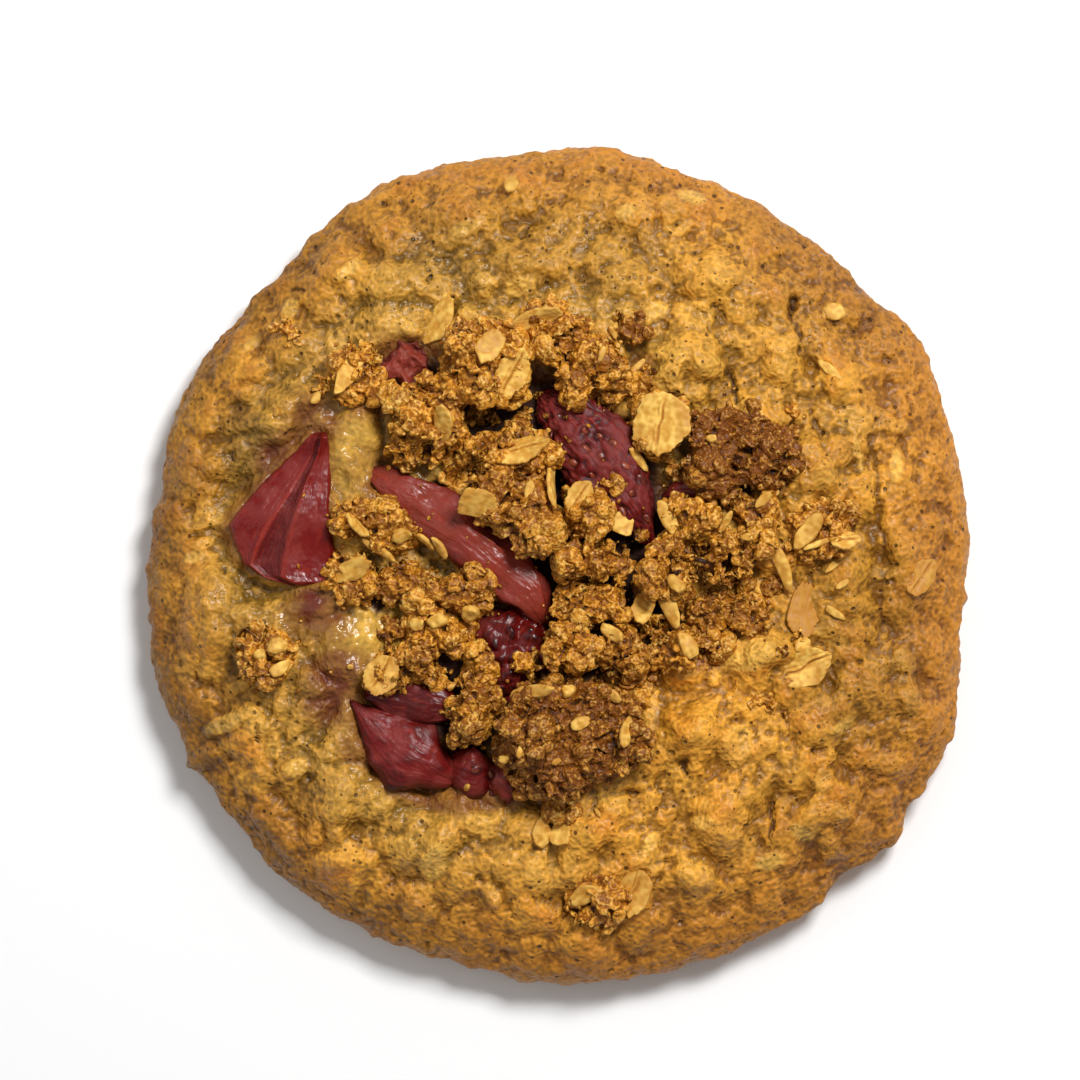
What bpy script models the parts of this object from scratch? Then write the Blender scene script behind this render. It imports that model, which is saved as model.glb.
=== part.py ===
"""Strawberry oat crumble cookie.

A thick, round, oat dough cookie lies on its flat underside. Pieces of baked strawberry sit in hollows of its
top, and clumps of oat crumble with rolled oats in them are heaped over the middle.

Sizes and places in the tables are millimetres, x to the right and y away from the viewer of a cookie that is
seen from straight above, with the origin at the middle of the underside. Directions are degrees, counted
anticlockwise from +X.
"""

import math
import random
from collections import Counter

import bmesh
import bpy
from mathutils import Euler, Matrix, Vector, noise

MM = 0.001  # metres in a millimetre
GAP = 0.6  # space cut between pieces that touch, of which thinning out their faces takes a little
LEAST_GAP = 0.3  # space to the dough that is left after that

# Dough: the driving sizes
RADIUS = 54.0  # mean radius of the widest line
TOP = 17.0  # height of the middle of the dome, before its mounds and hollows
BELLY = 5.0  # height of the widest line above the underside
FOOT_INSET = 2.8  # how far the edge of the underside lies inside the widest line
DOME_POWER = 3.1  # how flat the dome stays towards its edge
DOME_SHOULDER = 0.56  # how round the shoulder is
LUMP_SIZE = 7.5  # spacing of the oat lumps that swell the top
LUMP_RISE = 1.5
LUMP_BEND = 0.3  # how far the lumps stray from straight-sided cells, as a share of their spacing
CREASE_WIDTH = 0.34  # width of the creases between lumps, as a share of their spacing
RIPPLE_RISE = 0.5
HOLLOW_FLOOR = 0.85  # how soon the walls of a hollow rise: 1 puts half their height on the oval's edge
EDGE_WAVE = 0.45  # unevenness of the outline
GRID_CELLS = 150
SIDE_RINGS = 7
DOUGH_SHARE = 0.063  # share of the fine mesh's faces that the finished dough keeps

# Bulges and notches of the outline: direction, spread in degrees, rise
BULGES = (
    (30, 8, 1.6), (84, 7, 1.1), (112, 9, 1.0), (137, 9, -1.2), (169, 8, -0.8), (197, 6, 0.9),
    (228, 6, 0.5), (253, 9, -0.5), (276, 12, 0.9), (302, 16, 1.2), (329, 10, 1.8), (338, 4, 1.0), (354, 6, -1.0),
)

# Mounds of the top: x, y, length, width, direction, rise
MOUNDS = (
    (-21.4, 36.8, 12, 9, 10, 1.6), (-41.7, 25.0, 11, 9, 60, 2.0), (-45.0, 12.6, 5, 4, 0, 1.3),
    (-46.0, -5.8, 16, 11, 85, 2.0), (-50.5, 6.7, 6, 5, 90, 1.2), (-40.4, -24.8, 11, 8, 120, 1.2),
    (-32.6, 36.8, 9, 7, 30, 1.2), (-3.7, 39.4, 14, 8, 5, 1.5), (17.2, 26.3, 12, 11, 100, 2.9),
    (20.5, 37.2, 20, 12, -15, 2.6), (28.5, 28.3, 10, 9, 30, 2.0), (36.2, 23.7, 12, 9, 80, 2.4),
    (34.3, 13.0, 14, 11, 75, 2.0), (17.2, 47.0, 10, 6, -20, 1.2), (25.7, 43.0, 10, 7, -30, 1.3),
    (44.5, 3.0, 30, 7, 93, 1.5), (-15.5, -35.9, 14, 10, 25, 2.0), (5.4, -34.6, 14, 8, 10, 1.5),
    (21.2, -32.0, 13, 11, 40, 2.0), (17.5, -21.5, 19, 13, 35, 2.6), (18.5, -41.1, 13, 7, -10, 1.5),
    (34.0, -22.0, 14, 11, 50, 1.6), (-28.5, -26.0, 12, 9, -50, 1.6), (-30.0, -38.0, 12, 8, -40, 1.1),
    (27.0, -11.5, 11, 8, 20, 1.6), (43.0, -18.0, 12, 8, 70, 1.2), (-6.0, -44.0, 13, 7, -5, 1.2),
    (-37.0, 17.5, 9, 7, 40, 1.0), (-9.0, 46.0, 11, 6, 10, 1.1), (33.5, -33.0, 10, 8, -45, 1.2),
)

# Hollows of the top, which hold the fruit and the heap: x, y, length, width, direction, depth
HOLLOWS = (
    (-1.0, 4.0, 52, 44, -25, 2.6), (-36.0, 6.5, 20, 19, 60, 3.0), (-12.0, 3.0, 36, 13, -42, 3.0),
    (-6.0, -10.5, 17, 14, 60, 3.0), (6.0, 12.0, 28, 15, -55, 3.0), (-17.5, -22.0, 18, 18, -35, 3.2),
    (-8.5, -27.0, 15, 9, -10, 2.4), (-20.1, 25.9, 10, 7, 15, 1.8), (17.2, 9.0, 11, 8, 0, 1.6),
    (-9.0, 12.0, 9, 6, 60, 2.2), (-15.0, -5.5, 9, 6, -30, 2.2), (10.0, -13.0, 9, 8, 80, 2.6),
)

# Strawberry pieces. path: points of the middle line (x, y, height above the dough), girth: half widths there,
# rise and sink: thickness above and below the middle line, roof: 1 for a ridged top and 0 for a rounded one,
# ridge: where the ridge runs, from -1 at the left of the path to 1 at its right
BERRIES = {
    "strawberry_wedge": dict(
        path=((-31.3, 17.0, 0.4), (-33.4, 11.2, 0.7), (-35.8, 4.6, 0.8), (-35.6, 0.2, 0.3), (-35.0, -3.3, -0.5)),
        girth=(1.2, 4.3, 6.7, 6.0, 2.9), rise=3.4, sink=2.6, roof=0.75, ridge=0.1,
    ),
    "strawberry_half_sunk": dict(
        path=((-23.8, 24.3, 0.0), (-20.0, 26.2, 0.4), (-16.6, 27.6, 0.0)),
        girth=(1.6, 2.7, 1.5), rise=1.9, sink=1.6, roof=0.0, ridge=0.0,
    ),
    "strawberry_ribbon": dict(
        path=((-25.0, 12.4, 0.0), (-21.0, 10.2, 0.8), (-16.6, 7.4, 1.3), (-11.6, 3.6, 1.7), (-6.8, -0.8, 1.9),
              (-3.2, -4.4, 1.6), (-1.6, -7.6, 0.8)),
        girth=(1.8, 2.9, 3.1, 3.2, 3.4, 3.1, 1.6), rise=2.6, sink=2.2, roof=0.0, ridge=0.0,
    ),
    "strawberry_crumpled": dict(
        path=((-3.0, -5.4, -0.4), (-5.4, -9.2, 0.6), (-6.6, -13.4, 0.5), (-6.8, -17.4, -0.4)),
        girth=(3.2, 5.4, 4.4, 2.0), rise=2.8, sink=2.2, roof=0.3, ridge=-0.2,
    ),
    "strawberry_seeded": dict(
        path=((-2.6, 22.4, -0.2), (1.0, 19.2, 1.2), (5.0, 14.2, 2.0), (8.8, 8.6, 1.8), (12.4, 2.6, -0.2)),
        girth=(3.0, 5.0, 5.4, 4.7, 2.2), rise=3.3, sink=2.8, roof=0.0, ridge=0.0,
    ),
    "strawberry_lens": dict(
        path=((-25.4, -16.6, -0.2), (-20.6, -17.4, 0.8), (-15.6, -18.2, 0.9), (-11.4, -18.6, -0.2)),
        girth=(1.6, 2.9, 2.8, 1.6), rise=2.2, sink=1.9, roof=0.0, ridge=0.0,
    ),
    "strawberry_pear": dict(
        path=((-24.6, -19.6, -0.2), (-22.0, -22.0, 1.0), (-18.6, -25.0, 1.4), (-14.2, -27.6, 0.2)),
        girth=(2.4, 4.6, 5.2, 2.8), rise=3.2, sink=2.5, roof=0.0, ridge=0.0,
    ),
    "strawberry_tip": dict(
        path=((-14.4, -25.4, 0.4), (-11.4, -26.4, 0.9), (-8.4, -26.0, 0.2)),
        girth=(2.2, 3.5, 2.2), rise=2.5, sink=2.0, roof=0.0, ridge=0.0,
    ),
    "strawberry_flat": dict(
        path=((-10.4, -28.2, -0.2), (-6.6, -27.9, 0.4), (-3.0, -27.2, -0.4)),
        girth=(1.8, 2.3, 1.4), rise=1.8, sink=1.6, roof=0.0, ridge=0.0,
    ),
    "strawberry_sliver": dict(
        path=((13.4, 9.0, -0.2), (17.0, 9.8, 0.5), (20.8, 10.2, -0.2)),
        girth=(1.1, 1.7, 0.9), rise=1.6, sink=1.4, roof=0.0, ridge=0.0,
    ),
}

# Crumble clumps: x, y, length, width, direction, height, lift of the middle above the dough, seed
CLUMPS = {
    "crumble_knuckle": (-23.6, 5.4, 10.0, 6.8, -8, 5.6, 1.2, 11),
    "crumble_west": (-26.6, -1.6, 7.4, 6.6, 60, 5.2, 1.0, 12),
    "crumble_pebble": (-20.3, -1.4, 6.2, 5.8, 40, 5.4, 1.4, 13),
    "crumble_cheek": (-16.8, 18.9, 12.4, 10.2, 75, 8.6, 2.0, 14),
    "crumble_crown": (-9.5, 26.0, 12.0, 11.0, 95, 9.2, 2.3, 15),
    "crumble_ridge": (2.8, 27.0, 16.0, 9.6, -48, 7.6, 1.8, 16),
    "crumble_brow": (-5.8, 14.8, 12.0, 7.0, 4, 6.6, 3.2, 17),
    "crumble_heart": (-5.2, 7.6, 15.4, 9.6, -42, 9.4, 3.0, 18),
    "crumble_saddle": (-12.6, -3.6, 9.8, 6.8, 5, 7.0, 2.4, 19),
    "crumble_heel": (-16.0, -8.4, 8.8, 6.6, -10, 6.6, 2.2, 20),
    "crumble_ledge": (-20.4, -13.2, 11.2, 6.0, -4, 5.6, 1.8, 21),
    "crumble_bean": (3.7, 7.4, 8.0, 6.6, 90, 6.2, 3.2, 22),
    "crumble_nugget": (4.4, 1.0, 9.4, 6.2, -5, 7.0, 3.0, 23),
    "crumble_twin": (4.3, -4.8, 9.4, 6.6, 5, 6.8, 2.6, 24),
    "crumble_ball": (1.4, -10.4, 7.4, 7.4, 0, 7.8, 3.0, 25),
    "crumble_stack": (7.9, -11.2, 7.6, 7.0, 90, 6.8, 2.4, 26),
    "crumble_inner": (14.4, -0.4, 9.0, 8.2, 60, 7.0, 2.2, 27),
    "crumble_bridge": (17.2, 6.0, 9.0, 6.4, -20, 5.8, 2.2, 28),
    "crumble_dark": (23.5, 15.2, 15.6, 10.4, -12, 7.0, 1.6, 29),
    "crumble_plinth": (13.2, 18.2, 8.0, 7.2, 20, 5.8, 1.8, 30),
    "crumble_east": (21.9, 0.9, 8.2, 7.4, 50, 6.4, 1.8, 31),
    "crumble_crumb": (25.6, 7.0, 6.4, 5.2, 80, 4.8, 1.2, 32),
    "crumble_south": (15.0, -10.8, 7.6, 5.6, 20, 5.4, 1.6, 33),
    "crumble_spill": (24.4, -6.2, 7.4, 5.4, -20, 4.4, 1.0, 34),
    "crumble_pillar": (-11.3, -18.4, 10.8, 6.2, 78, 7.4, 2.6, 35),
    "crumble_peak": (1.0, -22.2, 18.4, 15.0, 8, 9.8, 2.3, 36),
    "crumble_shelf": (-26.4, 25.2, 9.2, 6.6, 55, 4.6, 1.0, 47),
    "crumble_nest": (34.0, 4.4, 9.0, 7.8, 10, 4.2, 0.4, 38),
    "crumble_lone": (-37.5, -11.7, 7.4, 6.6, 20, 4.2, 0.8, 39),
    "crumble_sunk": (4.6, -43.6, 8.8, 7.8, 10, 3.6, 0.2, 40),
}

# Rolled oats on the clumps: carrier, x, y, length, width, direction, tilt about the length, tilt about the width
OATS = (
    ("crumble_plinth", 13.2, 18.6, 8.6, 7.8, 60, 4, -4), ("crumble_ridge", -3.0, 32.0, 7.4, 4.2, 20, 20, 0),
    ("crumble_brow", -4.6, 15.4, 8.4, 4.2, 12, -12, 6), ("crumble_heart", -10.3, 8.0, 7.2, 5.4, -35, 0, 10),
    ("crumble_heart", -3.6, 9.4, 7.6, 4.4, 70, 20, 0), ("crumble_crown", -9.0, 28.2, 5.4, 4.6, 40, 0, 0),
    ("crumble_crown", -6.4, 24.8, 6.6, 4.6, 60, 24, 0), ("crumble_cheek", -15.2, 18.4, 6.2, 4.2, 80, 6, 0),
    ("crumble_shelf", -26.8, 25.0, 9.4, 4.2, 62, 8, 0), ("crumble_knuckle", -25.6, 5.4, 7.0, 3.6, -30, -18, 0),
    ("crumble_west", -26.8, -0.6, 6.2, 4.2, 35, 10, 0), ("crumble_saddle", -15.8, -4.2, 6.4, 3.8, -10, -16, 0),
    ("crumble_ledge", -23.8, -13.0, 5.6, 4.0, 70, -30, 0), ("crumble_bean", 3.0, 8.8, 5.6, 4.8, 55, 0, 0),
    ("crumble_inner", 15.2, -2.4, 7.6, 3.6, 75, 30, 0), ("crumble_twin", 8.0, -4.6, 6.6, 4.2, 70, -14, 0),
    ("crumble_bridge", 17.6, 5.8, 8.4, 4.2, -18, 12, 0), ("crumble_stack", 6.2, -8.4, 6.4, 3.4, -30, 26, 0),
    ("crumble_peak", 8.4, -19.8, 5.6, 4.2, 75, 38, 0), ("crumble_peak", -2.8, -15.6, 7.2, 2.6, -8, 12, 0),
    ("crumble_east", 23.6, -2.0, 5.8, 3.8, -15, 8, 0), ("crumble_nest", 31.4, 6.6, 6.6, 3.8, 40, 26, 0),
    ("crumble_nest", 36.4, 3.0, 8.2, 4.4, 20, -22, 0), ("crumble_lone", -37.2, -10.8, 5.4, 4.0, 20, 8, 0),
    ("crumble_sunk", 9.4, -42.6, 6.6, 5.2, 60, 0, 0), ("crumble_pebble", -17.4, 2.6, 5.4, 3.4, -40, 20, 0),
)

# Oats that lie loose on the dough, in nodes of their own
LOOSE_OATS = {
    "oat_creased": (32.2, -12.6, 7.2, 6.0, 25, 6, 0),
    "oat_flat": (31.6, -5.6, 7.4, 4.4, 80, -6, 0),
    "oat_standing": (-15.6, 31.9, 7.2, 4.4, 70, -22, 0),
    "oat_thin": (28.4, 0.6, 9.6, 2.6, -62, 14, 0),
}

# Crumbs and oats that are baked onto the dough: x, y, length, width, direction, height
STUCK_CRUMBS = (
    (-35.2, 30.4, 6.6, 3.8, -40, 2.6), (9.4, 31.2, 6.2, 4.6, -20, 3.6), (11.9, 25.0, 4.8, 3.2, 80, 3.2),
    (-31.8, 23.4, 4.8, 3.8, 70, 2.8), (-21.3, -8.4, 4.8, 4.2, 30, 3.4), (26.4, -17.6, 3.4, 2.8, 0, 2.0),
    (29.4, -18.4, 2.6, 2.2, 0, 1.8), (10.6, -18.0, 4.4, 3.2, 70, 3.2), (28.8, -11.0, 3.0, 2.4, 0, 1.8),
)
STUCK_OATS = (
    (-1.1, -34.6, 6.0, 4.4, 10), (35.2, 25.6, 6.2, 2.4, -50), (47.2, -1.4, 6.0, 3.6, 50), (36.0, 33.2, 3.6, 2.6, 0),
    (-6.2, 49.8, 2.8, 2.2, 60), (-31.0, -40.4, 5.0, 3.4, 40), (42.4, 15.4, 6.4, 3.8, 85),
)

CROWDING = 1.14  # how far the lobes of a clump spill past its measured length and width
OAT_THICKNESS = 1.1
OAT_CREASE = 0.35  # depth of the crease along an oat
OAT_CURL = 0.03  # rise of an oat's ends, as a share of its length
FACES_AT_LEAST = 60  # faces that a finished clump or fruit keeps, whatever its size
FACES_PER_MM = 7.0  # and how many more for each millimetre of its length and width
LARGE_CLUMP = 9.5  # longest side from which a clump gets the finer ball
SMALL_CLUMP = 6.9  # longest side below which it gets the coarser one

COLOURS = {
    "dough": (0.47, 0.235, 0.062, 1.0),
    "crumble": (0.26, 0.115, 0.032, 1.0),
    "oat": (0.72, 0.42, 0.13, 1.0),
    "strawberry": (0.17, 0.024, 0.020, 1.0),
}


def make_material(name, roughness):
    """A plain baked finish of one colour."""
    material = bpy.data.materials.new(name)
    material.use_nodes = True
    shader = material.node_tree.nodes["Principled BSDF"]
    shader.inputs["Base Color"].default_value = COLOURS[name]
    shader.inputs["Roughness"].default_value = roughness
    shader.inputs["Metallic"].default_value = 0.0
    return material


def oval_reach(x, y, oval):
    """Squared distance from the middle of an oval, which is 1 on its edge."""
    middle_x, middle_y, length, width, direction = oval[:5]
    turn = math.radians(direction)
    along = (x - middle_x) * math.cos(turn) + (y - middle_y) * math.sin(turn)
    across = (y - middle_y) * math.cos(turn) - (x - middle_x) * math.sin(turn)
    return (2.0 * along / length) ** 2 + (2.0 * across / width) ** 2


def mound_rise(x, y, mound):
    """A round swelling that ends at the edge of its oval."""
    return mound[5] * max(1.0 - oval_reach(x, y, mound), 0.0) ** 2


def hollow_depth(x, y, hollow):
    """A dish with a flat floor and soft walls."""
    return hollow[5] / (1.0 + (HOLLOW_FLOOR * oval_reach(x, y, hollow)) ** 4)


def outline_radius(angle):
    """Distance from the origin to the widest line of the dough."""
    reach = RADIUS
    for direction, spread, rise in BULGES:
        off = (math.degrees(angle) - direction + 180.0) % 360.0 - 180.0
        reach += rise * math.exp(-((off / spread) ** 2))
    wave = Vector((math.cos(angle) * 7.0, math.sin(angle) * 7.0, 3.1))
    return reach + EDGE_WAVE * noise.noise(wave)


def lump_height(x, y):
    """The swelling of the top where oats lie under the skin, with creases between them."""
    place = Vector((x, y, 4.0)) / LUMP_SIZE
    bend_x = noise.noise(place * 1.7)
    bend_y = noise.noise(place * 1.7 + Vector((5.2, 1.3, 8.4)))
    near = noise.voronoi(place + LUMP_BEND * Vector((bend_x, bend_y, 0.0)))[0]
    crease = min((near[1] - near[0]) / CREASE_WIDTH, 1.0)
    swell = 1.0 - near[0] ** 2
    ripple = noise.noise(Vector((x, y, 9.0)) * 0.33)
    return LUMP_RISE * (0.45 * crease ** 0.6 + 0.55 * swell - 0.8) + RIPPLE_RISE * ripple


def dough_height(x, y):
    """Height of the dough's top over the underside."""
    rim = outline_radius(math.atan2(y, x))
    share = min(math.hypot(x, y) / rim, 1.0)
    dome = (1.0 - share ** DOME_POWER) ** DOME_SHOULDER
    height = BELLY + (TOP - BELLY) * dome
    relief = lump_height(x, y)
    relief += sum(mound_rise(x, y, mound) for mound in MOUNDS)
    relief -= max(hollow_depth(x, y, hollow) for hollow in HOLLOWS)
    return height + relief * min(dome * 1.6, 1.0)


def in_order(bm):
    """The same mesh with its points and faces sorted by place, so that every run works on them in one order.

    Two faces on the same corners are the sides of a flap without thickness, and both are dropped.
    """
    points = sorted(bm.verts, key=lambda vert: tuple(vert.co))
    rank = {vert: index for index, vert in enumerate(points)}
    rings = []
    for face in bm.faces:
        ring = [rank[vert] for vert in face.verts]
        first = ring.index(min(ring))
        rings.append(ring[first:] + ring[:first])
    sides = Counter(frozenset(ring) for ring in rings)
    ordered = bmesh.new()
    verts = [ordered.verts.new(vert.co) for vert in points]
    for ring in sorted(rings):
        if sides[frozenset(ring)] == 1:
            ordered.faces.new([verts[index] for index in ring])
    bmesh.ops.delete(ordered, geom=[vert for vert in verts if not vert.link_faces], context="VERTS")
    bm.free()
    return ordered


def as_triangles(bm, mesh):
    """Writes a bmesh to a mesh, all triangles, and frees it."""
    bm = in_order(bm)
    bmesh.ops.triangulate(bm, faces=bm.faces)
    bm = in_order(bm)
    bm.to_mesh(mesh)
    bm.free()


def in_metres(bm, name, collection, material):
    """Makes the object of a bmesh that was modelled in millimetres."""
    bmesh.ops.transform(bm, matrix=Matrix.Scale(MM, 4), verts=bm.verts)
    bmesh.ops.recalc_face_normals(bm, faces=bm.faces)
    mesh = bpy.data.meshes.new(name)
    as_triangles(bm, mesh)
    if material is not None:
        mesh.materials.append(material)
    piece = bpy.data.objects.new(name, mesh)
    collection.objects.link(piece)
    return piece


def apply_modifiers(piece):
    """Turns what the modifiers show into the object's own mesh."""
    bpy.context.view_layer.update()
    graph = bpy.context.evaluated_depsgraph_get()
    mesh = bpy.data.meshes.new_from_object(piece.evaluated_get(graph))
    old = piece.data
    piece.modifiers.clear()
    piece.data = mesh
    bpy.data.meshes.remove(old)
    mesh.name = piece.name


def thin_out(piece, share):
    """Collapses a piece to a share of its faces."""
    if share < 1.0:
        modifier = piece.modifiers.new("thin_out", "DECIMATE")
        modifier.ratio = share
        apply_modifiers(piece)


def keep_largest_body(piece):
    """Drops loose scraps and the walls of sealed hollows."""
    bm = bmesh.new()
    bm.from_mesh(piece.data)
    bm = in_order(bm)
    left = set(bm.faces)
    bodies = []
    while left:
        body = set()
        reached = [left.pop()]
        while reached:
            face = reached.pop()
            body.add(face)
            for edge in face.edges:
                beside = [other for other in edge.link_faces if other in left]
                if len(edge.link_faces) == 2 and beside:
                    left.remove(beside[0])
                    reached.append(beside[0])
        bodies.append(body)
    largest = max(bodies, key=len)
    bmesh.ops.delete(bm, geom=[face for face in bm.faces if face not in largest], context="FACES")
    as_triangles(bm, piece.data)


def combine(piece, others, operation):
    """One Boolean of a piece with a whole collection, whose objects are then removed."""
    group = bpy.data.collections.new("with_" + piece.name)
    bpy.context.scene.collection.children.link(group)
    for other in others:
        for home in tuple(other.users_collection):
            home.objects.unlink(other)
        group.objects.link(other)
    modifier = piece.modifiers.new(operation.lower(), "BOOLEAN")
    modifier.operation = operation
    modifier.solver = "MANIFOLD"  # the exact solver takes minutes over so many uneven lumps
    modifier.operand_type = "COLLECTION"
    modifier.collection = group
    apply_modifiers(piece)
    for other in others:
        bpy.data.objects.remove(other)
    bpy.data.collections.remove(group)
    keep_largest_body(piece)


def make_dough(collection, material):
    """The dough as one solid: a grid rounded to a disc, raised to the dome, with its side and underside."""
    bm = bmesh.new()
    bmesh.ops.create_grid(bm, x_segments=GRID_CELLS, y_segments=GRID_CELLS, size=1.0)
    edges = [edge for edge in bm.edges if edge.is_boundary]
    for vert in bm.verts:
        u, v = vert.co.x, vert.co.y
        x = u * math.sqrt(1.0 - v * v / 2.0)
        y = v * math.sqrt(1.0 - u * u / 2.0)
        rim = outline_radius(math.atan2(y, x))
        vert.co = (x * rim, y * rim, dough_height(x * rim, y * rim))
    for ring in range(1, SIDE_RINGS + 1):
        height = BELLY * (1.0 - ring / SIDE_RINGS)
        tuck = 1.0 - math.sqrt(max(1.0 - (1.0 - height / BELLY) ** 2, 0.0))
        made = bmesh.ops.extrude_edge_only(bm, edges=edges)["geom"]
        edges = [item for item in made if isinstance(item, bmesh.types.BMEdge)]
        for vert in (item for item in made if isinstance(item, bmesh.types.BMVert)):
            angle = math.atan2(vert.co.y, vert.co.x)
            reach = outline_radius(angle) - FOOT_INSET * tuck
            vert.co = (math.cos(angle) * reach, math.sin(angle) * reach, height)
    bmesh.ops.holes_fill(bm, edges=[edge for edge in bm.edges if edge.is_boundary])
    dough = in_metres(bm, "cookie", collection, material)
    thin_out(dough, DOUGH_SHARE)
    return dough


def clump_lobes(clump):
    """The ball-shaped lobes that a clump is grown from, as pairs of a middle and three half sizes."""
    length, width, height, seed = clump[2] * CROWDING, clump[3] * CROWDING, clump[5], clump[7]
    rng = random.Random(seed)
    lobes = [(Vector((0.0, 0.0, 0.0)), Vector((0.36 * length, 0.36 * width, 0.42 * height)))]
    count = 5 + round((length + width) / 4.0)
    for step in range(count):
        angle = math.tau * (step + rng.uniform(-0.3, 0.3)) / count
        ball = rng.uniform(0.17, 0.27) * (width + 2.0)
        out_x = max(length / 2.0 - ball, 0.0) * rng.uniform(0.8, 1.05)
        out_y = max(width / 2.0 - ball, 0.0) * rng.uniform(0.8, 1.05)
        up = rng.uniform(-0.2, 0.24) * height
        lobes.append((Vector((out_x * math.cos(angle), out_y * math.sin(angle), up)),
                      Vector((ball, ball * rng.uniform(0.8, 1.1), min(ball * rng.uniform(0.8, 1.1), 0.3 * height)))))
    for step in range(2 + count // 4):
        angle = math.tau * (step + rng.uniform(0.0, 0.6)) / (2 + count // 4)
        ball = rng.uniform(0.16, 0.24) * (width + 2.0)
        far = rng.uniform(0.12, 0.26)
        lobes.append((Vector((far * length * math.cos(angle), far * width * math.sin(angle), 0.26 * height)),
                      Vector((ball, ball, 0.24 * height))))
    return lobes


def lobed_reach(lobes, ray):
    """How far the lobes reach from their common middle along a unit vector."""
    reach = 0.0
    for middle, half in lobes:
        a = sum((ray[axis] / half[axis]) ** 2 for axis in range(3))
        b = sum(ray[axis] * middle[axis] / half[axis] ** 2 for axis in range(3))
        c = sum((middle[axis] / half[axis]) ** 2 for axis in range(3)) - 1.0
        under_root = b * b - a * c
        if under_root > 0.0:
            reach = max(reach, (b + math.sqrt(under_root)) / a)
    return reach


def clump_place(clump):
    """The matrix that sets a clump down on the dough."""
    x, y, lift = clump[0], clump[1], clump[6]
    height = dough_height(x, y) + lift
    return Matrix.Translation((x, y, height)) @ Matrix.Rotation(math.radians(clump[4]), 4, "Z")


def clump_top(clump, x, y):
    """Height of a clump's surface at a place, or of its middle where the place lies outside it."""
    place = clump_place(clump)
    spot = place.inverted() @ Vector((x, y, place.translation.z))
    top = 0.0
    for middle, half in clump_lobes(clump):
        inside = 1.0 - ((spot.x - middle.x) / half.x) ** 2 - ((spot.y - middle.y) / half.y) ** 2
        if inside > 0.0:
            top = max(top, middle.z + half.z * math.sqrt(inside))
    return place.translation.z + top


def make_clump(name, clump, collection, material):
    """A craggy ball with the lobes of its clump."""
    bm = bmesh.new()
    longest = max(clump[2], clump[3])
    if longest > LARGE_CLUMP:
        bmesh.ops.create_icosphere(bm, subdivisions=3, radius=1.0)
    elif longest > SMALL_CLUMP:
        bmesh.ops.create_uvsphere(bm, u_segments=12, v_segments=8, radius=1.0)
    else:
        bmesh.ops.create_icosphere(bm, subdivisions=2, radius=1.0)
    lobes = clump_lobes(clump)
    for vert in bm.verts:
        ray = vert.co.normalized()
        rough = 1.0 + 0.10 * noise.noise(ray * 2.6 + Vector((clump[7], 0.0, 0.0)))
        vert.co = ray * lobed_reach(lobes, ray) * rough
    bmesh.ops.transform(bm, matrix=clump_place(clump), verts=bm.verts)
    return in_metres(bm, name, collection, material)


def make_oat(name, x, y, height, length, width, turns, collection, material):
    """A rolled oat: a thin oval with a crease along it and ends that curl up."""
    bm = bmesh.new()
    bmesh.ops.create_uvsphere(bm, u_segments=8, v_segments=4, radius=1.0)
    for vert in bm.verts:
        crease = OAT_CREASE * math.exp(-((vert.co.y / 0.25) ** 2))
        curl = OAT_CURL * length * vert.co.x ** 2
        flat = 0.5 * OAT_THICKNESS * vert.co.z
        vert.co = (0.5 * length * vert.co.x, 0.5 * width * vert.co.y, flat - crease + curl)
    direction, roll, pitch = (math.radians(turn) for turn in turns)
    spin = Euler((roll, pitch, direction), "XYZ").to_matrix().to_4x4()
    bmesh.ops.transform(bm, matrix=Matrix.Translation((x, y, height)) @ spin, verts=bm.verts)
    return in_metres(bm, name, collection, material)


def curve_point(points, share):
    """A point of a smooth curve through evenly shared points, and of values that go with them."""
    last = len(points) - 1
    step = min(int(share * last), last - 1)
    t = share * last - step
    before = points[max(step - 1, 0)]
    after = points[min(step + 2, last)]
    start, end = points[step], points[step + 1]
    return 0.5 * (2.0 * start + (end - before) * t + (2.0 * before - 5.0 * start + 4.0 * end - after) * t * t
                  + (3.0 * start - before - 3.0 * end + after) * t ** 3)


def make_berry(name, berry, collection, material):
    """A soft slug along the path, thick in the middle and closed at both ends."""
    bm = bmesh.new()
    bmesh.ops.create_uvsphere(bm, u_segments=12, v_segments=10 if len(berry["path"]) > 5 else 8, radius=1.0)
    path = [Vector((x, y, dough_height(x, y) + lift)) for x, y, lift in berry["path"]]
    for vert in bm.verts:
        share = min(max(math.acos(max(min(vert.co.z, 1.0), -1.0)) / math.pi, 0.0), 1.0)
        around = Vector((vert.co.x, vert.co.y)).normalized() if abs(vert.co.z) < 0.9999 else Vector((0.0, 0.0))
        middle = curve_point(path, share)
        ahead = curve_point(path, min(share + 0.02, 1.0)) - curve_point(path, max(share - 0.02, 0.0))
        right = Vector((ahead.y, -ahead.x, 0.0)).normalized()
        girth = max(curve_point(berry["girth"], share), 0.2)
        closing = math.sin(math.pi * share) ** 0.5
        roof = 1.0 - abs(around.x - berry["ridge"]) / (1.0 + abs(berry["ridge"]))
        crown = berry["roof"] * roof + (1.0 - berry["roof"]) * abs(around.y)
        up = berry["rise"] * crown if around.y > 0.0 else -berry["sink"] * abs(around.y)
        vert.co = middle + closing * (right * around.x * girth + Vector((0.0, 0.0, up)))
    bmesh.ops.remove_doubles(bm, verts=bm.verts, dist=0.01)
    return in_metres(bm, name, collection, material)


def copy_of(piece, suffix):
    """A cutter with the form of a piece."""
    cutter = bpy.data.objects.new(piece.name + suffix, piece.data.copy())
    cutter.hide_render = True
    cutter.display_type = "WIRE"
    bpy.data.collections["cutters"].objects.link(cutter)
    return cutter


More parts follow.
